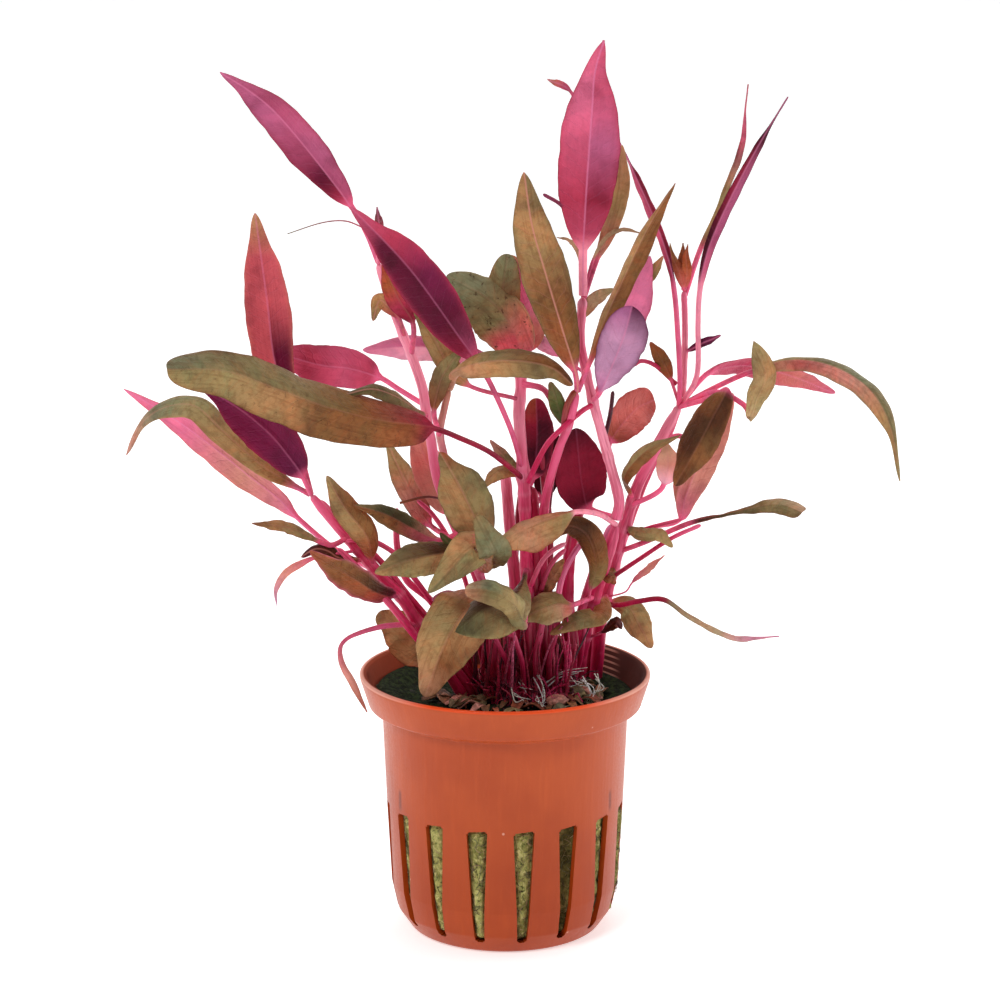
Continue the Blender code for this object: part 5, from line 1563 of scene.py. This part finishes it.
def make_rootlets():
    """White rootlets, several strands along each route, kept above the wool."""
    chance = random.Random(3)
    heap = Heap()
    for route in ROOTLETS:
        for _ in range(ROOTLET_STRANDS):
            places = [spot(*place) + drawn(chance, *[(-0.9, 0.9)] * 3) for place in route]
            for place in places:
                place[2] = max(place[2], WOOL_TOP + 0.2)
            curve = smooth_route(places, 24)
            radii = np.linspace(1.0, 0.4, len(curve)) * chance.uniform(0.08, 0.16)
            tint = rgba(np.minimum(PALETTE["white"] * chance.uniform(1.2, 1.5), 1.0))
            heap.add(*tube(curve, radii, THREAD_SIDES), tint)
    heap.finish("rootlets", tinted_material("rootlet_skin", 0.5))


def make_scraps():
    """Dead scraps of leaf, curled and torn, that lie on the wool round the stems' feet."""
    chance = random.Random(17)
    heap = Heap()
    shades = ("khaki", "rust", "tan_pink", "olive", "sage", "salmon", "tan_pink", "brown")
    firsts = [3 * row + side for row in range(SCRAP_STEPS) for side in range(2)]
    faces = [(first, first + 1, first + 4, first + 3) for first in firsts]
    for _ in range(SCRAPS):
        angle = tau * chance.random()
        away = chance.uniform(0.2, 1.0) ** 0.5 * SCRAP_REACH
        right, behind = SCRAP_MIDDLE
        centre = np.array((right + away * cos(angle) * 1.25, behind + away * sin(angle), WOOL_TOP + 0.4))
        heading = chance.uniform(0, tau)
        length = chance.uniform(2.5, 6.5)
        width = chance.uniform(0.4, 0.9) * length / 3
        rise = chance.uniform(0.2, 1.2)
        curl = chance.uniform(-0.5, 0.5)
        shade = PALETTE[chance.choice(shades)] * chance.uniform(0.7, 1.3)
        points, tints = [], []
        for step in range(SCRAP_STEPS + 1):
            part = step / SCRAP_STEPS
            line = heading + curl * (part - 0.5)
            middle = centre + (part - 0.5) * length * np.array((cos(line), sin(line), 0.0))
            middle[2] += rise * sin(pi * part) ** 2
            half = width * sin(pi * (0.04 + 0.92 * part)) ** 0.5 * chance.uniform(0.8, 1.1)
            across = np.array((-sin(line), cos(line), 0.35 * curl))
            for side in (-1, 0, 1):
                lifted = middle + across * half * side
                lifted[2] += 0.5 * half * abs(side)
                points.append(lifted)
                tints.append(rgba(shade * chance.uniform(0.7, 1.2)))
        heap.add(points, faces, tints)
    piece = heap.finish("dead_scraps", tinted_material("scrap_skin", 0.6, 1.2))
    piece.modifiers.new("thickness", "SOLIDIFY").thickness = SCRAP_THICKNESS * MM


def make_tangle():
    """Fine crimson side roots, and taller shoots, that tangle round the stems' feet."""
    chance = random.Random(23)
    heap = Heap()
    shades = ("crimson", "maroon", "deep_magenta", "maroon", "magenta", "magenta", "rose")
    for index in range(TANGLE + TALL_TANGLE):
        tall = index >= TANGLE
        angle = tau * chance.random()
        away = chance.random() ** 0.6
        wide, deep = TANGLE_REACH
        place = np.array((TANGLE_MIDDLE + wide * away * cos(angle), deep * away * sin(angle), WOOL_TOP))
        route = [place]
        heading = drawn(chance, (-1, 1), (-1, 1), (0.8, 3.0)) + (0.0, 0.0, 5.0 * tall)
        for _ in range(4):
            place = place + unit(heading) * chance.uniform(0.9, 2.3) * (1 + 1.2 * tall)
            place[2] = max(place[2], WOOL_TOP + 0.3)
            route.append(place)
            heading = heading + drawn(chance, (-1, 1), (-1, 1), (-1.4, 0.4))
        curve = smooth_route(route, 16)
        radii = np.linspace(1.0, 0.35, len(curve)) * chance.uniform(0.12, 0.36) * (1 + 0.5 * tall)
        tint = rgba(np.minimum(PALETTE[chance.choice(shades)] * chance.uniform(1.0, 1.9), 0.8))
        heap.add(*tube(curve, radii, THREAD_SIDES), tint)
    heap.finish("root_tangle", tinted_material("side_root_skin", 0.5))


# The studio


def make_studio():
    """A pale floor that curves up into a backdrop, soft lights and the camera."""
    material, tree, shader = new_material("studio_paper")
    white = (1.0, 1.0, 1.0, 1.0)
    faint = grain(tree, millimetres(tree), 0.02, 2.0)
    dress(tree, shader, mixed(tree, faint, (0.90, 0.90, 0.90, 1.0), (0.93, 0.93, 0.93, 1.0)), 0.9)
    shader.inputs["Emission Color"].default_value = white
    shader.inputs["Emission Strength"].default_value = 0.5
    rows = [(FLOOR_FRONT, 0.0), (FLOOR_BACK, 0.0)]
    for step in range(1, SWEEP_STEPS + 1):
        turn = pi / 2 * step / SWEEP_STEPS
        rows.append((FLOOR_BACK + SWEEP_RADIUS * sin(turn), SWEEP_RADIUS - SWEEP_RADIUS * cos(turn)))
    rows.append((FLOOR_BACK + SWEEP_RADIUS, BACKDROP_TOP))
    points = [(x, y, z) for y, z in rows for x in (-FLOOR_HALF_WIDTH, FLOOR_HALF_WIDTH)]
    faces = [(2 * row, 2 * row + 1, 2 * row + 3, 2 * row + 2) for row in range(len(rows) - 1)]
    mesh = bpy.data.meshes.new("studio_sweep")
    mesh.from_pydata(points, [], faces)
    mesh.shade_smooth()
    place_in_scene("studio_sweep", mesh, material)

    world = bpy.data.worlds.new("studio_air")
    world.use_nodes = True
    world.node_tree.nodes["Background"].inputs["Color"].default_value = white
    world.node_tree.nodes["Background"].inputs["Strength"].default_value = 0.12
    bpy.context.scene.world = world
    for name, place, size, power in LIGHTS:
        lamp = bpy.data.lights.new(name, "AREA")
        lamp.size = size
        lamp.energy = power
        thing = place_in_scene(name, lamp)
        thing.location = place
        thing.rotation_euler = (AIM - Vector(place)).to_track_quat("-Z", "Y").to_euler()

    lens = bpy.data.cameras.new("camera")
    lens.sensor_width = SENSOR_WIDTH
    lens.lens = FOCAL / PICTURE_WIDTH * SENSOR_WIDTH
    camera = place_in_scene("camera", lens)
    camera.location = Vector(EYE) * MM
    camera.rotation_euler = (pi / 2 - PITCH, 0.0, 0.0)
    bpy.context.scene.camera = camera
    bpy.context.scene.view_settings.view_transform = "Standard"


def make_plants():
    """Every stem, strand and leaf."""
    flesh = stem_material()
    for name, stem in STEMS.items():
        make_stem(name, stem, flesh)
    skin = leaf_material()
    for name, leaf in LEAVES.items():
        make_leaf(name, leaf, skin)


make_pot()
make_wool()
make_fibres()
make_stones()
make_crumbs()
make_rootlets()
make_scraps()
make_tangle()
make_plants()
make_studio()
